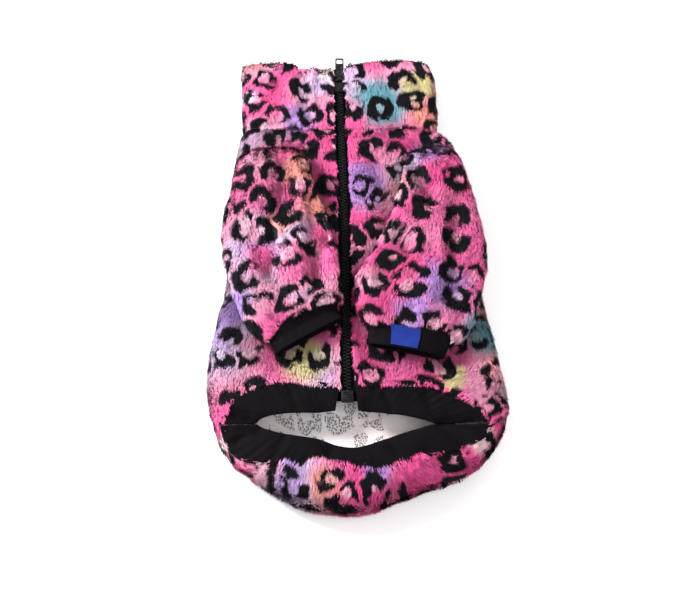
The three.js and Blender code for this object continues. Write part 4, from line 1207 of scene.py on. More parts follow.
def node(tree: Tree, kind: str, inputs: dict | None = None, **settings: object) -> Node:
    """Adds a shader node.

    Args:
        tree: the tree that it goes in.
        kind: its type, without the ShaderNode in front.
        inputs: a value or another node's socket for each input, by name or number.
        settings: the node's own settings.

    Returns:
        The node.
    """
    made = tree.nodes.new("ShaderNode" + kind)
    for name, value in settings.items():
        setattr(made, name, value)
    feed(tree, made, inputs or {})
    return made


def feed(tree: Tree, made: Node, inputs: dict) -> None:
    """Sets a node's inputs, each to a value or to another node's socket.

    Args:
        tree: the node's tree.
        made: the node.
        inputs: values or sockets, by name or number.
    """
    for name, value in inputs.items():
        if isinstance(value, Socket):
            tree.links.new(value, made.inputs[name])
        else:
            made.inputs[name].default_value = value


def maths(tree: Tree, operation: str, *values: object) -> Socket:
    """The result of a Math node."""
    return node(tree, "Math", dict(enumerate(values)), operation=operation).outputs[0]


def vectors(tree: Tree, operation: str, *values: object, result: str = "Vector", **inputs: object) -> Socket:
    """The result of a Vector Math node."""
    return node(tree, "VectorMath", dict(enumerate(values)) | inputs, operation=operation).outputs[result]


def ramp(tree: Tree, value: object, low: float, high: float, start: float = 0, end: float = 1) -> Socket:
    """A smooth rise from start to end as a value goes from low to high.

    Args:
        tree: the tree that they go in.
        value: what rises.
        low: where the rise starts.
        high: where it ends.
        start: its value below low.
        end: its value above high.

    Returns:
        The risen value.
    """
    return node(
        tree, "MapRange", {"Value": value, "From Min": low, "From Max": high, "To Min": start, "To Max": end},
        interpolation_type="SMOOTHSTEP",
    ).outputs["Result"]


def mix(tree: Tree, share: object, first: object, second: object, way: str = "MIX") -> Socket:
    """A mix of two colours."""
    return node(tree, "Mix", {0: share, 6: first, 7: second}, data_type="RGBA", blend_type=way).outputs[2]


def shaded(tree: Tree, colour: object, shade: object) -> Socket:
    """A colour times a shade of grey."""
    grey = node(tree, "CombineColor", {channel: shade for channel in range(3)}).outputs[0]
    return mix(tree, 1.0, colour, grey, "MULTIPLY")


def raised(tree: Tree, height: object, strength: float, distance: float) -> Socket:
    """The normal of a surface with a fine relief on it."""
    inputs = {"Height": height, "Strength": strength, "Distance": distance}
    return node(tree, "Bump", inputs).outputs["Normal"]


def noise(tree: Tree, place: object, scale: float, detail: float, result: str = "Fac") -> Socket:
    """A soft random pattern."""
    return node(tree, "TexNoise", {"Vector": place, "Scale": scale, "Detail": detail}).outputs[result]


def new_group(name: str, inputs: dict[str, tuple[str, object]], outputs: dict[str, str]) -> Tree:
    """An empty node group with its named sockets, a start node and an end node.

    Args:
        name: the group's name.
        inputs: each input's kind and value.
        outputs: each output's kind.

    Returns:
        The group.
    """
    tree = bpy.data.node_groups.new(name, "ShaderNodeTree")
    for label, (kind, value) in inputs.items():
        socket = tree.interface.new_socket(label, in_out="INPUT", socket_type="NodeSocket" + kind)
        if value is not None:
            socket.default_value = value
    for label, kind in outputs.items():
        tree.interface.new_socket(label, in_out="OUTPUT", socket_type="NodeSocket" + kind)
    return tree


def new_material(name: str) -> tuple[Material, Tree, Node]:
    """A material with its tree and its Principled shader.

    Args:
        name: the material's name.

    Returns:
        The material, its tree and its shader.
    """
    made = bpy.data.materials.new(name)
    made.use_nodes = True
    tree = made.node_tree
    shader = next(n for n in tree.nodes if n.type == "BSDF_PRINCIPLED")
    return made, tree, shader


@dataclass(frozen=True)
class DyeArea:
    """A place where the rainbow ground was dyed one colour, on the drawing's plan."""

    x: float
    y: float
    radius: float
    colour: tuple[float, float, float]


HOT_PINK = (0.96, 0.17, 0.42)
DEEP_PINK = (0.90, 0.09, 0.31)
LIGHT_PINK = (0.96, 0.37, 0.56)
LILAC = (0.44, 0.26, 0.66)
PALE_LILAC = (0.76, 0.55, 0.82)
TURQUOISE = (0.10, 0.42, 0.50)
PALE_YELLOW = (0.72, 0.68, 0.30)
PEACH = (0.92, 0.33, 0.26)
CREAM = (0.92, 0.72, 0.68)


@dataclass(frozen=True)
class LeopardPrint:
    """A common leopard print: broken black rings on a rainbow ground.

    Args:
        pitch: how far ring centres are apart, in metres.
        channel: half the ground between two rings, as a share of the pitch.
        hollow: radius of the smallest hollow centre, as a share of the pitch.
        wobble: how far the rings' edges wander, in metres.
        black: colour of the rings.
        areas: where the ground was dyed one colour.
    """

    pitch: float = 0.0295
    channel: float = 0.068
    hollow: float = 0.09
    wobble: float = 0.014
    black: tuple[float, float, float] = (0.0045, 0.0035, 0.007)
    areas: tuple[DyeArea, ...] = (
        DyeArea(-48, 192, 20, LILAC), DyeArea(-23, 247, 11, CREAM), DyeArea(-98, 217, 9, PALE_LILAC),
        DyeArea(2, 240, 16, PALE_LILAC), DyeArea(32, 210, 30, TURQUOISE), DyeArea(64, 228, 20, PALE_YELLOW),
        DyeArea(71, 196, 18, PEACH), DyeArea(74, 148, 20, LILAC), DyeArea(12, 120, 28, LILAC),
        DyeArea(50, 132, 16, PALE_LILAC), DyeArea(-50, 122, 17, PEACH), DyeArea(-32, 88, 18, PEACH),
        DyeArea(-64, 66, 15, PEACH), DyeArea(-84, 128, 20, LIGHT_PINK), DyeArea(-82, 92, 22, HOT_PINK),
        DyeArea(-44, 24, 22, HOT_PINK), DyeArea(-80, 30, 16, DEEP_PINK), DyeArea(-92, 58, 15, LIGHT_PINK),
        DyeArea(-20, 56, 17, DEEP_PINK), DyeArea(-102, -10, 15, LILAC), DyeArea(78, 76, 28, HOT_PINK),
        DyeArea(30, 62, 14, LIGHT_PINK), DyeArea(84, 4, 25, LILAC), DyeArea(54, -18, 19, LILAC),
        DyeArea(20, 10, 14, LIGHT_PINK), DyeArea(118, -32, 20, TURQUOISE), DyeArea(-40, -58, 22, PALE_YELLOW),
        DyeArea(92, -74, 13, PALE_YELLOW), DyeArea(121, -88, 16, LIGHT_PINK), DyeArea(24, -162, 15, LILAC),
        DyeArea(-24, -176, 17, PEACH), DyeArea(-116, -136, 13, CREAM), DyeArea(-74, -160, 15, LIGHT_PINK),
        DyeArea(112, -128, 14, CREAM),
    )

    def group(self) -> Tree:
        """The print as a node group, made once.

        Returns:
            The group.
        """
        if "leopard print" in bpy.data.node_groups:
            return bpy.data.node_groups["leopard print"]
        tree = new_group(
            "leopard print",
            {"Cloth": ("Vector", None), "Place": ("Vector", None)},
            {"Colour": "Color", "Spot": "Float", "Ground": "Color"},
        )
        start = tree.nodes.new("NodeGroupInput")
        end = tree.nodes.new("NodeGroupOutput")
        spot, hollow, chance = self._rings(tree, start.outputs["Cloth"])
        ground = self._ground(tree, start.outputs["Place"])
        pale = mix(tree, maths(tree, "MULTIPLY", hollow, chance), ground, (0.90, 0.80, 0.84, 1))
        feed(tree, end, {"Colour": mix(tree, spot, pale, (*self.black, 1)), "Spot": spot, "Ground": ground})
        return tree

    def _rings(self, tree: Tree, place: Socket) -> tuple[Socket, Socket, Socket]:
        """The rings' mask, the mask of their hollow centres, and how pale each centre is.

        Args:
            tree: the tree that they go in.
            place: the place on the cut cloth.

        Returns:
            The two masks and the paleness.
        """
        wobble = vectors(tree, "SUBTRACT", noise(tree, place, 70.0, 1.5, "Color"), (0.5, 0.5, 0.5))
        warped = vectors(tree, "ADD", place, vectors(tree, "SCALE", wobble, Scale=self.wobble))
        cell = {"Vector": warped, "Scale": 1 / self.pitch, "Randomness": 0.85}
        edge = node(tree, "TexVoronoi", cell, voronoi_dimensions="2D", feature="DISTANCE_TO_EDGE").outputs["Distance"]
        own = node(tree, "TexVoronoi", cell, voronoi_dimensions="2D", feature="F1")
        chance = node(tree, "SeparateColor", {0: own.outputs["Color"]})
        outside = ramp(tree, edge, self.channel - 0.012, self.channel + 0.012)
        near = ramp(tree, own.outputs["Distance"], 0.45, 0.51, 1, 0)
        inside = maths(tree, "MULTIPLY_ADD", chance.outputs[0], 0.15, self.hollow)
        ring = ramp(tree, maths(tree, "SUBTRACT", own.outputs["Distance"], inside), -0.02, 0.02)
        parts = node(tree, "SeparateXYZ", {0: vectors(tree, "SUBTRACT", warped, own.outputs["Position"])})
        angle = maths(tree, "ARCTAN2", parts.outputs["Y"], parts.outputs["X"])
        turned = maths(tree, "MULTIPLY_ADD", chance.outputs[1], 2 * math.pi, angle)
        opening = maths(tree, "MULTIPLY_ADD", chance.outputs[2], 0.5, 0.62)
        gap = maths(tree, "SUBTRACT", maths(tree, "COSINE", turned), opening)
        closed = ramp(tree, gap, -0.06, 0.06, 1, 0)
        kept = ramp(tree, noise(tree, place, 75.0, 1.0), 0.33, 0.37)
        spot = maths(tree, "MULTIPLY", maths(tree, "MULTIPLY", outside, near), ring)
        spot = maths(tree, "MULTIPLY", maths(tree, "MULTIPLY", spot, closed), kept)
        hollow = maths(tree, "SUBTRACT", 1.0, ring)
        return spot, hollow, maths(tree, "MULTIPLY", chance.outputs[1], 0.45)

    def _ground(self, tree: Tree, place: Socket) -> Socket:
        """The dyed ground: soft drifts of colour, then the areas of one colour.

        Args:
            tree: the tree that they go in.
            place: the place on the laid coat.

        Returns:
            The colour.
        """
        colours = node(tree, "ValToRGB", {0: noise(tree, place, 11.0, 0.8)})
        stops = colours.color_ramp.elements
        stops[0].position, stops[0].color = 0.26, (*LILAC, 1)
        stops[1].position, stops[1].color = 0.33, (*PALE_LILAC, 1)
        for where, colour in (
            (0.40, LIGHT_PINK), (0.47, HOT_PINK), (0.56, DEEP_PINK), (0.62, HOT_PINK), (0.68, LIGHT_PINK),
            (0.76, PEACH),
        ):
            stop = stops.new(where)
            stop.color = (*colour, 1)
        ground = colours.outputs["Color"]
        ragged = noise(tree, place, 40.0, 2.0)
        flat = vectors(tree, "MULTIPLY", place, (1, 1, 0))
        for area in self.areas:
            centre = tuple(to_frame(np.array([area.x, area.y, 0.0])))
            radius = area.radius * METRES
            away = vectors(tree, "DISTANCE", flat, centre, result="Value")
            away = maths(tree, "MULTIPLY_ADD", ragged, radius * 0.9, away)
            share = ramp(tree, away, radius * 0.9, radius * 1.7, 0.9, 0)
            ground = mix(tree, share, ground, (*area.colour, 1))
        return ground


@dataclass(frozen=True)
class WovenThreads:
    """Crossing threads, as a height and a shade."""

    name: str = "woven threads"

    def group(self) -> Tree:
        """The weave as a node group, made once.

        Returns:
            The group.
        """
        if self.name in bpy.data.node_groups:
            return bpy.data.node_groups[self.name]
        tree = new_group(
            self.name,
            {"Place": ("Vector", None), "Across": ("Float", 900.0), "Along": ("Float", 900.0), "Fuzz": ("Float", 0.3)},
            {"Height": "Float", "Shade": "Float"},
        )
        start = tree.nodes.new("NodeGroupInput")
        end = tree.nodes.new("NodeGroupOutput")
        parts = node(tree, "SeparateXYZ", {0: start.outputs["Place"]})
        waves = []
        for axis, count in (("X", "Across"), ("Y", "Along")):
            turns = maths(tree, "MULTIPLY", parts.outputs[axis], start.outputs[count])
            waves.append(maths(tree, "SINE", maths(tree, "MULTIPLY", turns, 2 * math.pi)))
        woven = maths(tree, "MULTIPLY", *waves)
        fuzz = maths(tree, "MULTIPLY", noise(tree, start.outputs["Place"], 1500.0, 2.0), start.outputs["Fuzz"])
        height = maths(tree, "ADD", maths(tree, "MULTIPLY_ADD", woven, 0.35, 0.5), fuzz)
        feed(tree, end, {"Height": height, "Shade": maths(tree, "MULTIPLY_ADD", height, 0.5, 0.6)})
        return tree


def woven(tree: Tree, place: object, **inputs: float) -> Node:
    """The weave at places of the cloth."""
    return node(tree, "Group", {"Place": place, **inputs}, node_tree=WovenThreads().group())


def attribute(tree: Tree, name: str) -> Node:
    """Reads a value stored at a piece's points."""
    return node(tree, "Attribute", attribute_name=name, attribute_type="GEOMETRY")


@dataclass(frozen=True)
class PlushFinish:
    """The printed plush: its pile, the ground under the pile and its bare reverse."""

    print_: LeopardPrint = LeopardPrint()

    def _printed(self, tree: Tree) -> Node:
        """The print at the cloth's own places.

        Args:
            tree: the material's tree.

        Returns:
            The placed group.
        """
        cloth_at, place = (attribute(tree, name).outputs["Vector"] for name in ("print_at", "root"))
        placed = node(tree, "Group", node_tree=self.print_.group())
        feed(tree, placed, {"Cloth": cloth_at, "Place": place})
        return placed

    def pile(self) -> Material:
        """Dresses the strands, each of its own tone, with painted shade: darker at their roots and deep in folds or
        beside a sleeve.

        Returns:
            The material.
        """
        made, tree, shader = new_material("plush pile")
        printed = self._printed(tree)
        along = attribute(tree, "along").outputs["Fac"]
        tone = attribute(tree, "tone").outputs["Fac"]
        # Painted shade: the colour darkens towards the strands' roots, deep in the pile.
        depth = ramp(tree, along, 0.0, 0.6, 0.72, 1.0)
        shade = maths(tree, "MULTIPLY", depth, maths(tree, "MULTIPLY_ADD", tone, 0.16, 0.92))
        # Painted shade: the colour darkens where a strand lies deep in a fold or beside a sleeve.
        hollow = attribute(tree, "hollow").outputs["Fac"]
        shade = maths(tree, "MULTIPLY", shade, maths(tree, "MULTIPLY_ADD", hollow, -0.56, 1.0))
        own = vectors(tree, "SCALE", node(tree, "NewGeometry").outputs["Normal"], Scale=0.4)
        facing = vectors(tree, "ADD", own, attribute(tree, "facing").outputs["Vector"])
        sheen = maths(tree, "MULTIPLY", maths(tree, "MULTIPLY_ADD", printed.outputs["Spot"], -0.14, 0.16), shade)
        feed(tree, shader, {
            "Base Color": shaded(tree, printed.outputs["Colour"], shade),
            "Normal": vectors(tree, "NORMALIZE", facing),
            "Sheen Weight": sheen, "Sheen Roughness": 0.45, "Roughness": 0.7, "Specular IOR Level": 0.12,
        })
        return made

    def ground(self) -> Material:
        """The knitted ground between the strands' roots, its print darkened as painted shade under the pile.

        Returns:
            The material.
        """
        made, tree, shader = new_material("plush ground")
        # Painted shade: the print is multiplied by a grey where it lies under the pile.
        colour = mix(tree, 1.0, self._printed(tree).outputs["Colour"], (0.72, 0.70, 0.72, 1), "MULTIPLY")
        feed(tree, shader, {"Base Color": colour, "Roughness": 0.95})
        return made

    def reverse(self) -> Material:
        """The pale knitted reverse, where the print shows through as faint dots.

        Returns:
            The material.
        """
        made, tree, shader = new_material("plush reverse")
        printed = self._printed(tree)
        place = attribute(tree, "print_at").outputs["Vector"]
        dots = node(tree, "TexVoronoi", {"Vector": place, "Scale": 520.0}, voronoi_dimensions="2D").outputs["Distance"]
        dotted = maths(tree, "MULTIPLY", ramp(tree, dots, 0.22, 0.46, 1, 0.16), printed.outputs["Spot"])
        pale = mix(tree, 0.12, (0.95, 0.93, 0.91, 1), printed.outputs["Ground"])
        colour = mix(tree, maths(tree, "MULTIPLY", dotted, 0.9), pale, (0.05, 0.05, 0.06, 1))
        weave = woven(tree, place, Across=560.0, Along=560.0)
        normal = raised(tree, weave.outputs["Height"], 0.5, 0.0004)
        feed(tree, shader, {"Base Color": colour, "Normal": normal, "Roughness": 0.9})
        return made


@dataclass(frozen=True)
class BlackCloth:
    """Black cloth with fine threads: the elastic bands and the zip's tape.

    Args:
        name: the material's name.
        colour: its colour.
        across: threads a metre across the piece.
        along: threads a metre along it.
        roughness: its roughness.
    """

    name: str
    colour: tuple[float, float, float] = (0.0030, 0.0022, 0.0034)
    across: float = 900.0
    along: float = 900.0
    roughness: float = 0.7

    def material(self) -> Material:
        """The material, on the piece's own flat places."""
        made, tree, shader = new_material(self.name)
        place = attribute(tree, "print_at").outputs["Vector"]
        weave = woven(tree, place, Across=self.across, Along=self.along)
        worn = noise(tree, place, 55.0, 3.0)
        shade = maths(tree, "MULTIPLY", weave.outputs["Shade"], ramp(tree, worn, 0.3, 0.7, 0.8, 1.5))
        feed(tree, shader, {
            "Base Color": shaded(tree, (*self.colour, 1), shade),
            "Roughness": ramp(tree, worn, 0.3, 0.7, self.roughness - 0.08, self.roughness + 0.08),
            "Normal": raised(tree, weave.outputs["Height"], 0.6, 0.0003),
            "Specular IOR Level": 0.035,
        })
        return made


@dataclass(frozen=True)
class Lacquer:
    """Black lacquer or moulded plastic, with paler smudges."""

    name: str
    colour: tuple[float, float, float] = (0.007, 0.007, 0.008)
    roughness: float = 0.35
    metallic: float = 0.0
    shine: float = 0.1

    def material(self) -> Material:
        """The material, on Object coordinates."""
        made, tree, shader = new_material(self.name)
        place = node(tree, "TexCoord").outputs["Object"]
        smudge = noise(tree, place, 420.0, 3.0)
        feed(tree, shader, {
            "Base Color": mix(tree, ramp(tree, smudge, 0.5, 0.8), (*self.colour, 1), (0.02, 0.02, 0.022, 1)),
            "Roughness": ramp(tree, smudge, 0.3, 0.7, self.roughness - 0.07, self.roughness + 0.1),
            "Normal": raised(tree, noise(tree, place, 2600.0, 2.0), 0.25, 0.0001),
            "Metallic": self.metallic, "Specular IOR Level": self.shine,
        })
        return made


@dataclass
class PlushPanels:
    """The body's plush: the back panel and the two belly panels.

    Args:
        plan: the coat's surfaces.
        finish: the plush.
        backing: how far under the pile's face the knitted ground lies.
        thick: the knitted ground's thickness.
    """

    plan: CoatPlan
    finish: PlushFinish
    backing: float = 3.6
    thick: float = 1.2
    rows: int = 150
    cloth_rows: int = 76

    def build(self) -> None:
        """Builds the three panels with their pile."""
        left = girth_steps((0, 1, 44), (1, 2 - SEAM_GIRTH, 15))
        back = girth_steps((2 + SEAM_GIRTH, 3, 15), (3, 4, 80), (4, 5 - SEAM_GIRTH, 15))
        self._panel("belly_left", left, (0.0, 0.0), 11, Side.LEFT)
        self._panel("belly_right", 7 - left[::-1], (320.0, 40.0), 23, Side.RIGHT)
        self._panel("back", back, (700.0, 90.0), 37, None)

    def sheet(self, girths: Array, printed_from: tuple[float, float]) -> Sheet:
        """The rows and columns of a panel.

        Args:
            girths: the panel's columns.
            printed_from: where it was cut from the printed cloth.

        Returns:
            The sheet.
        """
        shares = np.linspace(0, 1, self.rows)
        face = self.plan.body(girths, shares)
        return Sheet(face, face - self.plan.body(girths, shares, PLUSH), printed_from=printed_from)

    @staticmethod
    def _under_sleeve(x: Array, y: Array, side: Side) -> Array:
        """Which places of the belly the sleeve that lies on it hides.

        Args:
            x: places on the plan, across.
            y: the same places, along.
            side: which sleeve.

        Returns:
            True for each hidden place.
        """
        rows = SLEEVES[side]
        far = column_at(rows, "farY", y, "farX")
        near = column_at(rows, "nearY", y, "nearX")
        edge = 9.0
        within = (x - far) * side.value < -edge
        within &= (x - near) * side.value > edge
        foot = np.interp(np.abs(x), [20.0, 70.0], [rows["nearY"][-1], rows["farY"][-1]])
        return within & (y < 132) & (y > foot + edge)

    def _panel(self, name: str, girths: Array, start: tuple[float, float], seed: int, side: Side | None) -> None:
        """Builds one panel.

        Args:
            name: the panel's name.
            girths: its columns.
            start: where it was cut from the printed cloth.
            seed: which random pile.
            side: the belly's side, or None for the back.
        """
        sheet = self.sheet(girths, start)
        ground = sheet.thinned(self.cloth_rows, len(girths) // 2)
        density = np.ones((len(sheet.face) - 1, len(girths) - 1))
        if side is None:
            density = lerp(1.0, 0.3, sheet.facing_down(0.55, 0.95))
            keep = None
            replaced, flat = "back_panel", (0.30, 0.43)
        else:
            x, y = sheet.face[:-1, :-1, 0], sheet.face[:-1, :-1, 1]
            density = density * self._kept(sheet, side) * np.where(self._under_sleeve(x, y, side), 0.2, 1.0)
            keep = self._kept(ground, side)
            replaced, flat = f"belly_{side.name.lower()}", (0.115, 0.275)
        made = cloth(
            f"{name}_cloth", ground, self.backing, self.thick, [self.finish.ground(), self.finish.reverse()], keep
        )
        settle(made, (replaced,))
        pile = Pile(seed=seed, relief=self.plan.relief).grow(f"{name}_pile", sheet, density, self.finish.pile())
        settle(pile)

    @staticmethod
    def _kept(sheet: Sheet, side: Side) -> Array:
        """Which cells of a belly panel are cloth: all but the armhole under the sleeve's root.

        Args:
            sheet: the panel.
            side: the belly's side.

        Returns:
            True for each cell of cloth.
        """
        row = {key: values[0] for key, values in SLEEVES[side].items()}
        across = np.array([row["farX"] - row["nearX"], row["farY"] - row["nearY"]])
        half_width = np.linalg.norm(across) / 2 - PLUSH - 1
        half_depth = row["height"] / 2 - PLUSH - 1
        middle = np.array([row["farX"] + row["nearX"], row["farY"] + row["nearY"]]) / 2
        way = unit(across)
        centre = (sheet.face[:-1, :-1] + sheet.face[1:, 1:]) / 2
        away = centre[..., :2] - middle
        u, v = away @ way, away @ np.array([-way[1], way[0]])
        return ((u / half_width) ** 2 + (v / half_depth) ** 2 > 1) | (centre[..., 2] < NECK_HEIGHT / 2)


def folded(outer: Array, inner: Array, steps: int = 7) -> tuple[Array, Array]:
    """A cloth folded double: up one side, round its edge and down the other side.

    Args:
        outer: rows of the outer side, the last one at the fold.
        inner: the same rows of the inner side.
        steps: how many rows go round the fold.

    Returns:
        The rows of the folded cloth, and for each point a vector that leaves it.
    """
    middle = (outer[-1] + inner[-1]) / 2
    reach = outer[-1] - middle
    beyond = unit(outer[-1] - outer[-2]) * np.linalg.norm(reach, axis=1, keepdims=True)
    turns = np.linspace(0, math.pi, steps + 2)[1:-1, None, None]
    nose = middle + reach * np.cos(turns) + beyond * np.sin(turns)
    face = np.concatenate([outer, nose, inner[::-1]])
    outward = np.concatenate([outer - inner, nose - middle, (inner - outer)[::-1]])
    return face, outward


@dataclass
class Collar:
    """The standing collar: plush folded double, with lobes along its top edge."""

    plan: CoatPlan
    finish: PlushFinish
    backing: float = 1.9
    thick: float = 0.9
    inner_pile: float = 0.22
    bare_rows: tuple[int, int] = (10, 4)

    def build(self) -> None:
        """Builds the collar and its pile, which is sparse inside and has a bare line inside the fold."""
        girths = girth_steps((0, 1, 50), (1, 3, 26), (3, 4, 50), (4, 6, 26), (6, 7, 50))
        shares = np.linspace(0, 1, 44)
        outer, inner = (self.plan.collar(girths, shares, depth) for depth in (0.0, COLLAR_WALL))
        face, outward = folded(outer, inner)
        sheet = Sheet(face[::-1], outward[::-1], printed_from=(1200.0, 300.0))
        rows = len(sheet.face)
        inside = np.arange(rows - 1) < len(shares)
        density = np.where(inside, self.inner_pile, 1.0)
        density[len(shares) - self.bare_rows[0] : len(shares) + self.bare_rows[1]] = 0
        density = density[:, None] * np.ones(len(girths) - 1)
        density = density * np.where(inside[:, None], 1.0, lerp(1.0, 0.3, sheet.facing_down(0.55, 0.95)))
        ground = self.finish.ground()
        made = cloth("collar_cloth", sheet.thinned(58, 110), self.backing, self.thick, [ground, ground])
        settle(made, ("collar",))
        pile = Pile(seed=53, relief=self.plan.relief, length=7.6, depth=self.backing, lean=(44.0, 8.0))
        grown = pile.grow("collar_pile", sheet, density, self.finish.pile())
        settle(grown)
        log_area("collar", sheet)


@dataclass
class Sleeve:
    """One plush sleeve: a tube sewn into its armhole that folds over and lies on the belly."""

    plan: CoatPlan
    finish: PlushFinish
    side: Side
    printed_from: tuple[float, float]
    seed: int
    backing: float = 3.6
    thick: float = 1.2

    def build(self) -> None:
        """Builds the sleeve and its pile."""
        name = f"sleeve_{self.side.name.lower()}"
        angles = round_angles(110)
        face, inside = (self.plan.sleeve(self.side, 130, angles, depth) for depth in (0.0, PLUSH))
        sheet = Sheet(face, face - inside, round=True, printed_from=self.printed_from)
        density = lerp(1.0, 0.25, sheet.facing_down(0.35, 0.85))
        made = cloth(
            f"{name}_cloth", sheet.thinned(66, 55), self.backing, self.thick,
            [self.finish.ground(), self.finish.reverse()],
        )
        settle(made, (name,))
        ends = PILE_ENDS[self.side]
        end = np.interp(np.degrees(angles), ends["angle"], ends["share"])
        pile = Pile(seed=self.seed, relief=self.plan.relief, end=np.append(end, end[0]), overhang=1.5)
        grown = pile.grow(f"{name}_pile", sheet, density, self.finish.pile())
        settle(grown)
        log_area(name, sheet)


def cuff_rows(side: Side, count: int) -> Table:
    """Rows of a cuff, from where its sleeve's pile ends to its free edge.

    Args:
        side: which cuff.
        count: how many rings.

    Returns:
        A row for each ring.
    """
    end = {name: values[-1] for name, values in SLEEVES[side].items()}
    far, near = (np.array([end[f"{edge}X"], end[f"{edge}Y"]]) for edge in ("far", "near"))
    across = unit(far - near)
    down = np.array([across[1], -across[0]])
    down = down * np.sign(-down[1]) * SEAM
    far, near = far - across * CUFF_INSET + down, near + across * CUFF_INSET + down
    seam = dict(zip(CUFFS[side], (*far, *near, end["height"] - 2 * CUFF_INSET)))
    place = np.linspace(0, 2, count)
    knots = (CUFF_TOPS[side], seam, CUFFS[side])
    made = {name: np.interp(place, np.arange(3), [rows[name] for rows in knots]) for name in seam}
    made["fold"] = np.full(count, 90.0)
    made["lift"] = np.full(count, CUFF_INSET)
    return made


@dataclass
class Cuff:
    """A black elastic cuff, folded double at its free edge."""

    plan: CoatPlan
    side: Side
    cloth_finish: Material
    wall: float = 2.0
    thick: float = 0.8

    def build(self) -> None:
        """Builds the cuff with the small gathers along its seam."""
        name = f"cuff_{self.side.name.lower()}"
        rows = cuff_rows(self.side, 21)
        angles = round_angles(100)
        outer, inner = (self.plan.tube(rows, angles, depth) for depth in (0.0, self.wall))
        gathers = 0.5 * ripple(np.stack([outer[..., 0], outer[..., 1] * 0.15], -1), 7.0, 5 + self.side.value)
        fade = (1 - np.linspace(0, 1, len(outer))[:, None]) ** 0.7
        outward = unit(outer - inner)
        outer = outer + outward * (gathers * fade)[..., None]
        inner = inner + outward * (gathers * fade)[..., None]
        face, away = folded(outer, inner)
        sheet = Sheet(face[::-1], away[::-1], round=True)
        made = cloth(f"{name}_cloth", sheet, 0.0, self.thick, [self.cloth_finish])
        settle(made, (name,))
        log_area(name, sheet)


@dataclass
class CuffLabel:
    """The bare blue woven label on the right cuff, sewn down at both ends."""

    plan: CoatPlan
    span: tuple[float, float] = (0.29, 0.64)
    length: tuple[float, float] = (0.22, 0.98)
    rings: int = 40
    above: float = 1.1
    thick: float = 0.5

    def build(self) -> None:
        """Builds the label and its stitches."""
        rows = cuff_rows(Side.RIGHT, self.rings)
        keep = np.linspace(*self.length, 28) * (self.rings - 1)
        rows = {name: np.interp(keep, np.arange(self.rings), values) for name, values in rows.items()}
        cosine = 2 * np.linspace(*self.span, 44) - 1
        angles = np.arccos(np.sign(cosine) * np.abs(cosine) ** (TUBE_SQUARENESS / 2))
        face = self.plan.tube(rows, angles, 0.0)
        face[..., 2] += self.above + 0.18 * ripple(face[..., :2], 11.0, 3)
        sheet = Sheet(face, np.zeros_like(face) + UP)
        satin = WovenLabel().material()
        made = cloth("cuff_label_cloth", sheet, 0.0, self.thick, [satin])
        settle(made, ("cuff_label",))
        self._stitches(sheet, satin)

    def _stitches(self, sheet: Sheet, finish: Material) -> None:
        """Sews both ends down with short stitches.

        Args:
            sheet: the label's sheet.
            finish: their material.
        """
        spots, ways = [], []
        for column in (2, -3):
            line = sheet.face[:, column]
            for row in range(1, len(line) - 1, 3):
                spots.append(line[row] + UP * 0.05)
                ways.append(unit(line[row + 1] - line[row - 1]))
        made = stitches("cuff_label_stitches", np.array(spots), np.array(ways), 1.0, 0.28, finish)
        settle(made)


def new_block(size: tuple[float, ...], place: tuple[float, ...] = (0.0, 0.0, 0.0)) -> Piece:
    """A block of a size, from a cube.

    Args:
        size: its sides.
        place: its middle.

    Returns:
        The block.
    """
    only(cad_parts["collar"])
    bpy.ops.mesh.primitive_cube_add(size=1.0, location=place)
    made = bpy.context.object
    made.dimensions = size
    bpy.ops.object.transform_apply(location=True, rotation=True, scale=True)
    return made


def stitches(name: str, spots: Array, ways: Array, length: float, thick: float, finish: Material) -> Piece:
    """Joins many short rounded stitches into one piece.

    Args:
        name: the piece's name.
        spots: the middle of each stitch.
        ways: the way that each runs.
        length: a stitch's length.
        thick: its thickness.
        finish: its material.

    Returns:
        The joined stitches.
    """
    thread = new_block((thick, length, thick))
    apply(thread, "BEVEL", width=thick * 0.33, segments=1)
    points, faces = mesh_arrays(thread)
    side = unit(np.cross(ways, UP))
    up = np.cross(side, ways)
    frames = np.stack([side, ways, up], 1)
    placed = np.einsum("vk,nkc->nvc", points, frames) + spots[:, None]
    bpy.data.objects.remove(thread)
    return join_copies(name, placed, faces, finish)


def mesh_arrays(obj: Piece) -> tuple[Array, list[tuple[int, ...]]]:
    """The points of a piece, one a row, and its faces.

    Args:
        obj: the piece.

    Returns:
        The points, and each face's corner numbers.
    """
    points = np.zeros(len(obj.data.vertices) * 3, np.float32)
    obj.data.vertices.foreach_get("co", points)
    return points.reshape(-1, 3).astype(float), [tuple(face.vertices) for face in obj.data.polygons]


def join_copies(name: str, placed: Array, faces: list[tuple[int, ...]], finish: Material) -> Piece:
    """Joins placed copies of one small piece, in the drawing's millimetres, into one mesh.

    Args:
        name: the piece's name.
        placed: copies, points, 3.
        faces: one copy's faces.
        finish: its material.

    Returns:
        The joined piece.
    """
    count, size = placed.shape[:2]
    starts = (np.arange(count) * size)[:, None]
    by_size: dict[int, list[tuple[int, ...]]] = {}
    for face in faces:
        by_size.setdefault(len(face), []).append(face)
    blocks = [
        (starts[:, :, None] + np.array(group)[None]).reshape(-1, corners) for corners, group in by_size.items()
    ]
    made = fill_mesh(name, to_frame(placed.reshape(-1, 3)), blocks)
    mark(made, "print_at", to_frame(placed.reshape(-1, 3)))
    made.data.materials.append(finish)
    only(made)
    bpy.ops.object.shade_smooth_by_angle(angle=math.radians(40))
    return made


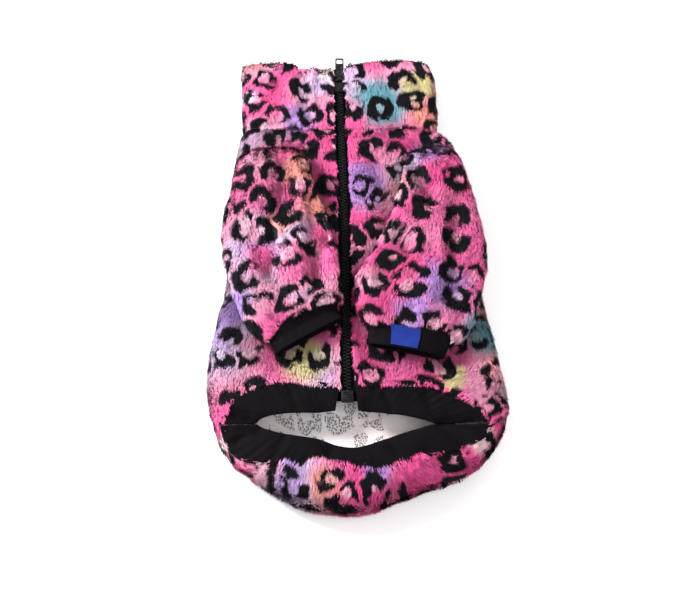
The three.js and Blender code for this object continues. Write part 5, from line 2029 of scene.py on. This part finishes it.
@dataclass
class HemBand:
    """The black elastic band round the mouth, in three stretches, each folded double at its edge."""

    plan: CoatPlan
    cloth_finish: Material
    below_pile: float = 1.5
    gap: float = -1.6
    end_gap: float = 0.35
    wall: float = 2.0
    thick: float = 0.8

    def build(self) -> None:
        """Builds the left, right and back stretches."""
        left = girth_steps((0, 1, 80), (1, 2 - SEAM_GIRTH, 24))
        back = girth_steps((2 + SEAM_GIRTH, 3, 20), (3, 4, 170), (4, 5 - SEAM_GIRTH, 20))
        self._stretch("left", left)
        self._stretch("right", 7 - left[::-1])
        self._stretch("back", back)

    def _free_edge(self, name: str, girths: Array) -> Array:
        """The band's edge at the mouth.

        Args:
            name: left, right or back.
            girths: places round the coat, from 0 to 7.

        Returns:
            The points.
        """
        if name == "back":
            return self.plan.mouth_back.at(self.plan.tail_share(girths, 1))
        _, turn = sides_of(girths)
        return self.plan.mouths[Side[name.upper()]].at(self.plan.edge_share(turn))

    def _rows(self, name: str, girths: Array, depth: float) -> Array:
        """Rows of the band at a depth under its face.

        Args:
            name: left, right or back.
            girths: places round the coat, from 0 to 7.
            depth: how far under the face.

        Returns:
            The points, as rows, columns, 3.
        """
        edge = self.plan.body(girths, np.array([1.0]), self.below_pile + depth)[0]
        free = self._free_edge(name, girths)
        free[:, 2] = MOUTH_HEIGHT - depth
        along = np.gradient(edge, axis=0)
        way = unit(np.stack([-along[:, 1], along[:, 0], 0 * along[:, 0]], 1))
        way = way * np.sign((way * (free - edge)).sum(1, keepdims=True))
        edge = edge + way * self.gap
        shares = np.linspace(0, 1, 18)[:, None, None]
        rows = lerp(edge, free, shares)
        if name == "back":
            rows[:, [0, -1], 1] -= self.end_gap
        else:
            rows[:, -1 if name == "left" else 0, 1] += self.end_gap
        return rows

    def _stretch(self, name: str, girths: Array) -> None:
        """Builds one stretch, a little full between its edges, with soft gathers and folds.

        Args:
            name: left, right or back.
            girths: its columns.
        """
        outer, inner = (self._rows(name, girths, depth) for depth in (0.0, self.wall))
        shares = np.linspace(0, 1, len(outer))[:, None]
        x, y = outer[..., 0], outer[..., 1]
        full = 1.3 * np.sin(math.pi * shares) ** 0.8
        around = np.cumsum(np.linalg.norm(np.diff(outer[0], axis=0, prepend=outer[:1, 0]), axis=1))
        gathers = 0.55 * ripple(np.stack([around, around * 0], -1), 11.0, 61)[None] * (1 - shares) ** 1.2
        rise = full + gathers + fold_at(BAND_CREASES, x, y)
        outer[..., 2] += rise
        inner[..., 2] += rise
        face, away = folded(outer, inner)
        sheet = Sheet(face[::-1], away[::-1])
        made = cloth(f"hem_band_{name}_cloth", sheet, 0.0, self.thick, [self.cloth_finish])
        settle(made, (f"hem_band_{name}",))
        log_area(f"hem band {name}", sheet)


@dataclass(frozen=True)
class WovenLabel:
    """Blue woven satin, bare."""

    colour: tuple[float, float, float] = (0.0025, 0.018, 0.19)

    def material(self) -> Material:
        """The material, with fine threads and a soft satin shine."""
        made, tree, shader = new_material("blue woven satin")
        place = attribute(tree, "print_at").outputs["Vector"]
        weave = woven(tree, place, Across=1500.0, Along=2600.0, Fuzz=0.2)
        feed(tree, shader, {
            "Base Color": shaded(tree, (*self.colour, 1), weave.outputs["Shade"]),
            "Normal": raised(tree, weave.outputs["Height"], 0.4, 0.0002),
            "Roughness": 0.5, "Specular IOR Level": 0.2,
        })
        return made


@dataclass
class Zip:
    """The zip: two woven tapes, moulded teeth, a bottom box, a slider and its pull tab."""

    plan: CoatPlan
    tape_finish: Material
    teeth_finish: Material
    metal_finish: Material
    tape_span: tuple[float, float] = (0.4, 10.0)
    tape_ends: tuple[float, float] = (250.0, -97.0)
    tape_thick: float = 0.8
    pitch: float = 3.2
    tooth: tuple[float, float, float] = (2.3, 1.75, 2.5)
    chain_ends: tuple[float, float] = (220.0, -87.0)
    box: tuple[float, float, float] = (10.4, 10.5, 4.2)
    slider_foot: float = 221.0
    slider_size: tuple[float, float, float] = (9.4, 15.0, 4.2)
    lug_x: float = 3.1
    hinge_back: float = 2.6
    hinge_rise: float = 1.5
    tab: tuple[float, float, float] = (8.5, 21.2, 1.6)
    tab_foot: float = 3.6

    def build(self) -> None:
        """Builds the zip from its tapes up."""
        for side in Side:
            self._tape(side)
        self._teeth()
        self._bottom_box()
        self._slider()
        self._pull()

    def _tape(self, side: Side) -> None:
        """One woven tape with a row of stitches.

        Args:
            side: which tape.
        """
        head, foot = self.tape_ends
        y = np.linspace(head, foot, 150)[:, None]
        across = side.value * np.linspace(*self.tape_span, 13)[None]
        x = self.plan.zip_x(y) + across
        y = np.broadcast_to(y, x.shape)
        z = self.plan.tape_top(x, y) + 0.12 * ripple(np.stack([x, y], -1), 18.0, 7)
        face = np.stack([x, y, z], -1)
        sheet = Sheet(face, np.zeros_like(face) + UP)
        name = f"zip_tape_{side.name.lower()}"
        made = cloth(f"{name}_cloth", sheet, 0.0, self.tape_thick, [self.tape_finish])
        settle(made, (name,))
        rows = np.arange(20, 148, 2)
        line = face[rows, 7] + UP * 0.15
        way = unit(face[rows + 1, 7] - face[rows - 1, 7])
        thread = stitches(f"{name}_stitches", line, way, 3.2, 0.4, self.tape_finish)
        settle(thread)

    def _teeth(self) -> None:
        """The closed row of moulded teeth, turn about from each tape."""
        tooth = new_block(self.tooth)
        select(tooth, "FACE", lambda face: face.normal.x > 0.9)
        with editing():
            for reach, narrowed in ((0.5, (1, 0.62, 0.9)), (0.9, (1, 1.35, 1))):
                bpy.ops.mesh.extrude_region_move(TRANSFORM_OT_translate={"value": (reach, 0, 0)})
                bpy.ops.transform.resize(value=narrowed)
        apply(tooth, "BEVEL", width=0.3, segments=1)
        points, faces = mesh_arrays(tooth)
        points[:, 0] -= 1.75
        head, foot = self.chain_ends
        y = np.arange(head, foot, -self.pitch / 2)
        sign = np.where(np.arange(len(y)) % 2, 1.0, -1.0)
        x = self.plan.zip_x(y)
        z = self.plan.tape_top(x, y) + SEAM + 1.3
        turned = np.stack([-sign[:, None] * points[None, :, 0], -sign[:, None] * points[None, :, 1]], -1)
        placed = np.concatenate([turned, np.broadcast_to(points[None, :, 2:], (*turned.shape[:2], 1))], -1)
        placed = placed + np.stack([x + sign * 0.35, y, z], -1)[:, None]
        bpy.data.objects.remove(tooth)
        made = join_copies("zip_teeth", placed, faces, self.teeth_finish)
        settle(made, ("zip_chain",))

    def _block(self, size: tuple[float, float, float], place: tuple[float, float, float], bevel: float) -> Piece:
        """A bevelled block, in the drawing's millimetres.

        Args:
            size: its sides.
            place: its middle.
            bevel: its edges' radius, or 0.

        Returns:
            The block.
        """
        made = new_block(tuple(METRES * value for value in size), tuple(to_frame(np.array(place))))
        if bevel:
            apply(made, "BEVEL", width=bevel * METRES, segments=3)
        return made

    def _finish(self, name: str, parts: list, finish: Material) -> Piece:
        """Joins parts into one smooth piece with its material.

        Args:
            name: the piece's name.
            parts: what is joined.
            finish: its material.

        Returns:
            The joined piece.
        """
        only(parts[0])
        for part in parts[1:]:
            part.select_set(True)
        if len(parts) > 1:
            bpy.ops.object.join()
        made = bpy.context.object
        made.name = name
        made.data.name = name
        made.data.materials.clear()
        made.data.materials.append(finish)
        only(made)
        bpy.ops.object.shade_smooth_by_angle(angle=math.radians(35))
        return made

    def _bottom_box(self) -> None:
        """The box at the zip's foot, with a wide and two narrow ribs across it."""
        width, length, height = self.box
        head = self.chain_ends[1] - 1.3
        y = head - length / 2
        x = float(self.plan.zip_x(np.array(y)))
        z = float(self.plan.tape_top(np.array(x), np.array(y))) + SEAM + height / 2
        parts = [self._block((width, length, height), (x, y, z), 0.8)]
        for rib_length, share in ((length * 0.34, -0.22), (0.9, 0.16), (0.9, 0.34)):
            place = (x, y + length * share, z + height / 2 + 0.1)
            parts.append(self._block((width * 0.7, rib_length, 0.7), place, 0.25))
        made = self._finish("zip_bottom_box_moulded", parts, self.teeth_finish)
        settle(made, ("zip_bottom_box",))

    def _slider_plate(self, z: float, thick: float, scale: float) -> Piece:
        """One plate of the slider: narrow at its foot, widest past its middle, with a blunt nose.

        Args:
            z: height of its middle.
            thick: its thickness.
            scale: its width, as a share of the slider.

        Returns:
            The plate.
        """
        width, length, _ = self.slider_size
        x = float(self.plan.zip_x(np.array(self.slider_foot + length / 2)))
        size = (width * scale, length * (0.9 + 0.1 * scale), thick)
        made = self._block(size, (x, self.slider_foot + length / 2, z), 0)
        foot_y = (self.slider_foot - PLAN_CENTRE[1]) * METRES
        for share in (0.6, 0.88):
            select(made, "FACE", lambda face: True)
            with editing():
                place = (0, foot_y + share * length * METRES, 0)
                bpy.ops.mesh.bisect(plane_co=place, plane_no=(0, 1, 0))
        centre = ((x - PLAN_CENTRE[0]) * METRES, 0, z * METRES)
        for low, high, narrow in ((-1, 0.1, 0.72), (0.95, 2, 0.70)):
            select(made, "VERT", lambda point: low < (point.co.y - foot_y) / (length * METRES) < high)
            with editing():
                bpy.ops.transform.resize(value=(narrow, 1, 1), center_override=centre)
        apply(made, "BEVEL", width=0.0004 if thick > 1 else 0.0002, segments=3)
        return made

    def _hinge(self) -> tuple[float, float, float]:
        """Where the pull tab turns."""
        _, length, height = self.slider_size
        x = float(self.plan.zip_x(np.array(self.slider_foot + length / 2)))
        base = float(self.plan.tape_top(np.array(x), np.array(self.slider_foot))) + SEAM
        return x, self.slider_foot + length - self.hinge_back, base + height + self.hinge_rise

    def _slider(self) -> None:
        """The slider: two plates, the wedge between them and two lugs."""
        x, y, z = self._hinge()
        _, length, height = self.slider_size
        base = z - self.hinge_rise - height
        middle = self.slider_foot + length / 2
        parts = [
            self._slider_plate(base + height - 0.7, 1.4, 1.0),
            self._slider_plate(base + height / 2, height - 2.4, 0.72),
            self._slider_plate(base + 0.6, 1.2, 1.0),
            self._block((2.6, length * 0.45, 0.7), (x, middle - 2.4, base + height + 0.2), 0.3),
        ]
        for sign in (-1, 1):
            parts.append(self._block((1.1, 3.6, 3.2), (x + sign * self.lug_x, y, base + height + 1.0), 0.35))
        made = self._finish("zip_slider_cast", parts, self.metal_finish)
        settle(made, ("zip_slider",))

    def _pull(self) -> None:
        """The pull tab: a bevelled plate with a window, a neck and a round barrel in the lugs."""
        x, y, z = self._hinge()
        width, length, thick = self.tab
        plate = self._block(self.tab, (x, y + self.tab_foot + length / 2, z), 0)
        corners = plate.data.vertices
        select(plate, "EDGE", lambda edge: abs(np.subtract(*(corners[end].co.z for end in edge.vertices))) > METRES)
        with editing():
            bpy.ops.mesh.bevel(offset=0.0015, segments=4)
        window = self._block((width - 3.2, 5.0, 6.0), (x, y + 25 - 1.6 - 2.5, z), 0.6)
        groove = self._block((4.6, 9.0, 1.0), (x, y + 11.2, z + thick / 2 + 0.15), 0.45)
        for cut in (window, groove):
            apply(plate, "BOOLEAN", operation="DIFFERENCE", object=cut, solver="EXACT")
            bpy.data.objects.remove(cut)
        apply(plate, "BEVEL", width=0.00028, segments=2, angle_limit=math.radians(40))
        neck = self._block((4.2, 4.4, 1.5), (x, y + 1.8, z), 0.3)
        only(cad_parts["collar"])
        bpy.ops.mesh.primitive_cylinder_add(
            vertices=32, radius=0.0012, depth=0.0045, location=tuple(to_frame(np.array([x, y, z]))),
            rotation=(0, QUARTER, 0),
        )
        barrel = bpy.context.object
        bpy.ops.object.transform_apply(location=True, rotation=True, scale=True)
        made = self._finish("zip_pull_cast", [plate, neck, barrel], self.metal_finish)
        settle(made, ("zip_pull",), Body.PULL_TAB)


def select(obj: Piece, kind: str, wanted: Callable[[object], bool]) -> None:
    """Selects a piece's points, edges or faces that pass a test, and nothing else, for the edit that follows.

    Args:
        obj: the piece.
        kind: VERT, EDGE or FACE.
        wanted: the test.
    """
    only(obj)
    groups = {"VERT": obj.data.vertices, "EDGE": obj.data.edges, "FACE": obj.data.polygons}
    for group in groups.values():
        group.foreach_set("select", np.zeros(len(group), bool))
    for item in groups[kind]:
        item.select = bool(wanted(item))
    bpy.context.tool_settings.mesh_select_mode = tuple(name == kind for name in groups)


@contextmanager
def editing() -> Iterator[None]:
    """Edit mode for the lines inside."""
    bpy.ops.object.mode_set(mode="EDIT")
    yield
    bpy.ops.object.mode_set(mode="OBJECT")


@dataclass
class Studio:
    """A pale floor, soft light from above and the camera at the photograph's angle."""

    elevation: float = 66.0
    distance: float = 1.15
    target: tuple[float, float, float] = (-0.006, -0.0338, 0.02)
    lens: float = 65.71

    def build(self) -> None:
        """Sets the floor, the lights, the world and the camera."""
        scene = bpy.context.scene
        scene.view_settings.view_transform = "Standard"
        only(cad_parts["collar"])
        bpy.ops.mesh.primitive_plane_add(size=6.0, location=(0, 0, -0.0005))
        floor = bpy.context.object
        floor.name = "floor"
        made, _, shader = new_material("floor paper")
        feed(made.node_tree, shader, {
            "Base Color": (0.9, 0.9, 0.9, 1), "Roughness": 0.9,
            "Emission Color": (1, 1, 1, 1), "Emission Strength": 0.2,
        })
        floor.data.materials.append(made)
        for name, place, size, power in (
            ("key", (-1.0, 0.5, 0.85), 0.4, 46.0),
            ("fill", (0.7, -0.7, 1.4), 1.2, 11.0),
            ("rim", (0.6, 1.1, 0.8), 0.8, 5.0),
        ):
            data = bpy.data.lights.new(name, "AREA")
            data.size, data.energy = size, power
            lamp = bpy.data.objects.new(name, data)
            lamp.location = place
            lamp.rotation_euler = (-Vector(place)).to_track_quat("-Z", "Y").to_euler()
            scene.collection.objects.link(lamp)
        world = bpy.data.worlds.new("soft studio")
        world.use_nodes = True
        feed(world.node_tree, world.node_tree.nodes["Background"], {"Color": (1, 1, 1, 1), "Strength": 0.62})
        scene.world = world
        camera = bpy.data.objects.new("camera", bpy.data.cameras.new("camera"))
        back = Vector((0, -math.cos(math.radians(self.elevation)), math.sin(math.radians(self.elevation))))
        camera.location = Vector(self.target) + back * self.distance
        camera.rotation_euler = (math.radians(90 - self.elevation), 0, 0)
        camera.data.lens = self.lens
        camera.data.sensor_width = 36.0
        camera.data.dof.use_dof = False
        scene.collection.objects.link(camera)
        scene.camera = camera


def main() -> None:
    """Builds the coat's pieces in order."""
    logging.basicConfig(level=logging.INFO, format="%(name)s %(message)s", stream=sys.stdout)
    Studio().build()
    plan = CoatPlan()
    plush = PlushFinish()
    PlushPanels(plan, plush).build()
    Collar(plan, plush).build()
    Sleeve(plan, plush, Side.LEFT, (1700.0, 60.0), 71).build()
    Sleeve(plan, plush, Side.RIGHT, (2100.0, 10.0), 89).build()
    elastic = BlackCloth("black elastic knit", across=620.0, along=900.0, roughness=0.66).material()
    for side in Side:
        Cuff(plan, side, elastic).build()
    CuffLabel(plan).build()
    HemBand(plan, elastic).build()
    tape = BlackCloth("black zip tape", across=1300.0, along=1000.0, roughness=0.78).material()
    teeth = Lacquer("black moulded plastic", roughness=0.38).material()
    metal = Lacquer("black lacquered metal", roughness=0.3, metallic=0.35, shine=0.3).material()
    Zip(plan, tape, teeth, metal).build()


if __name__ == "__main__":
    main()
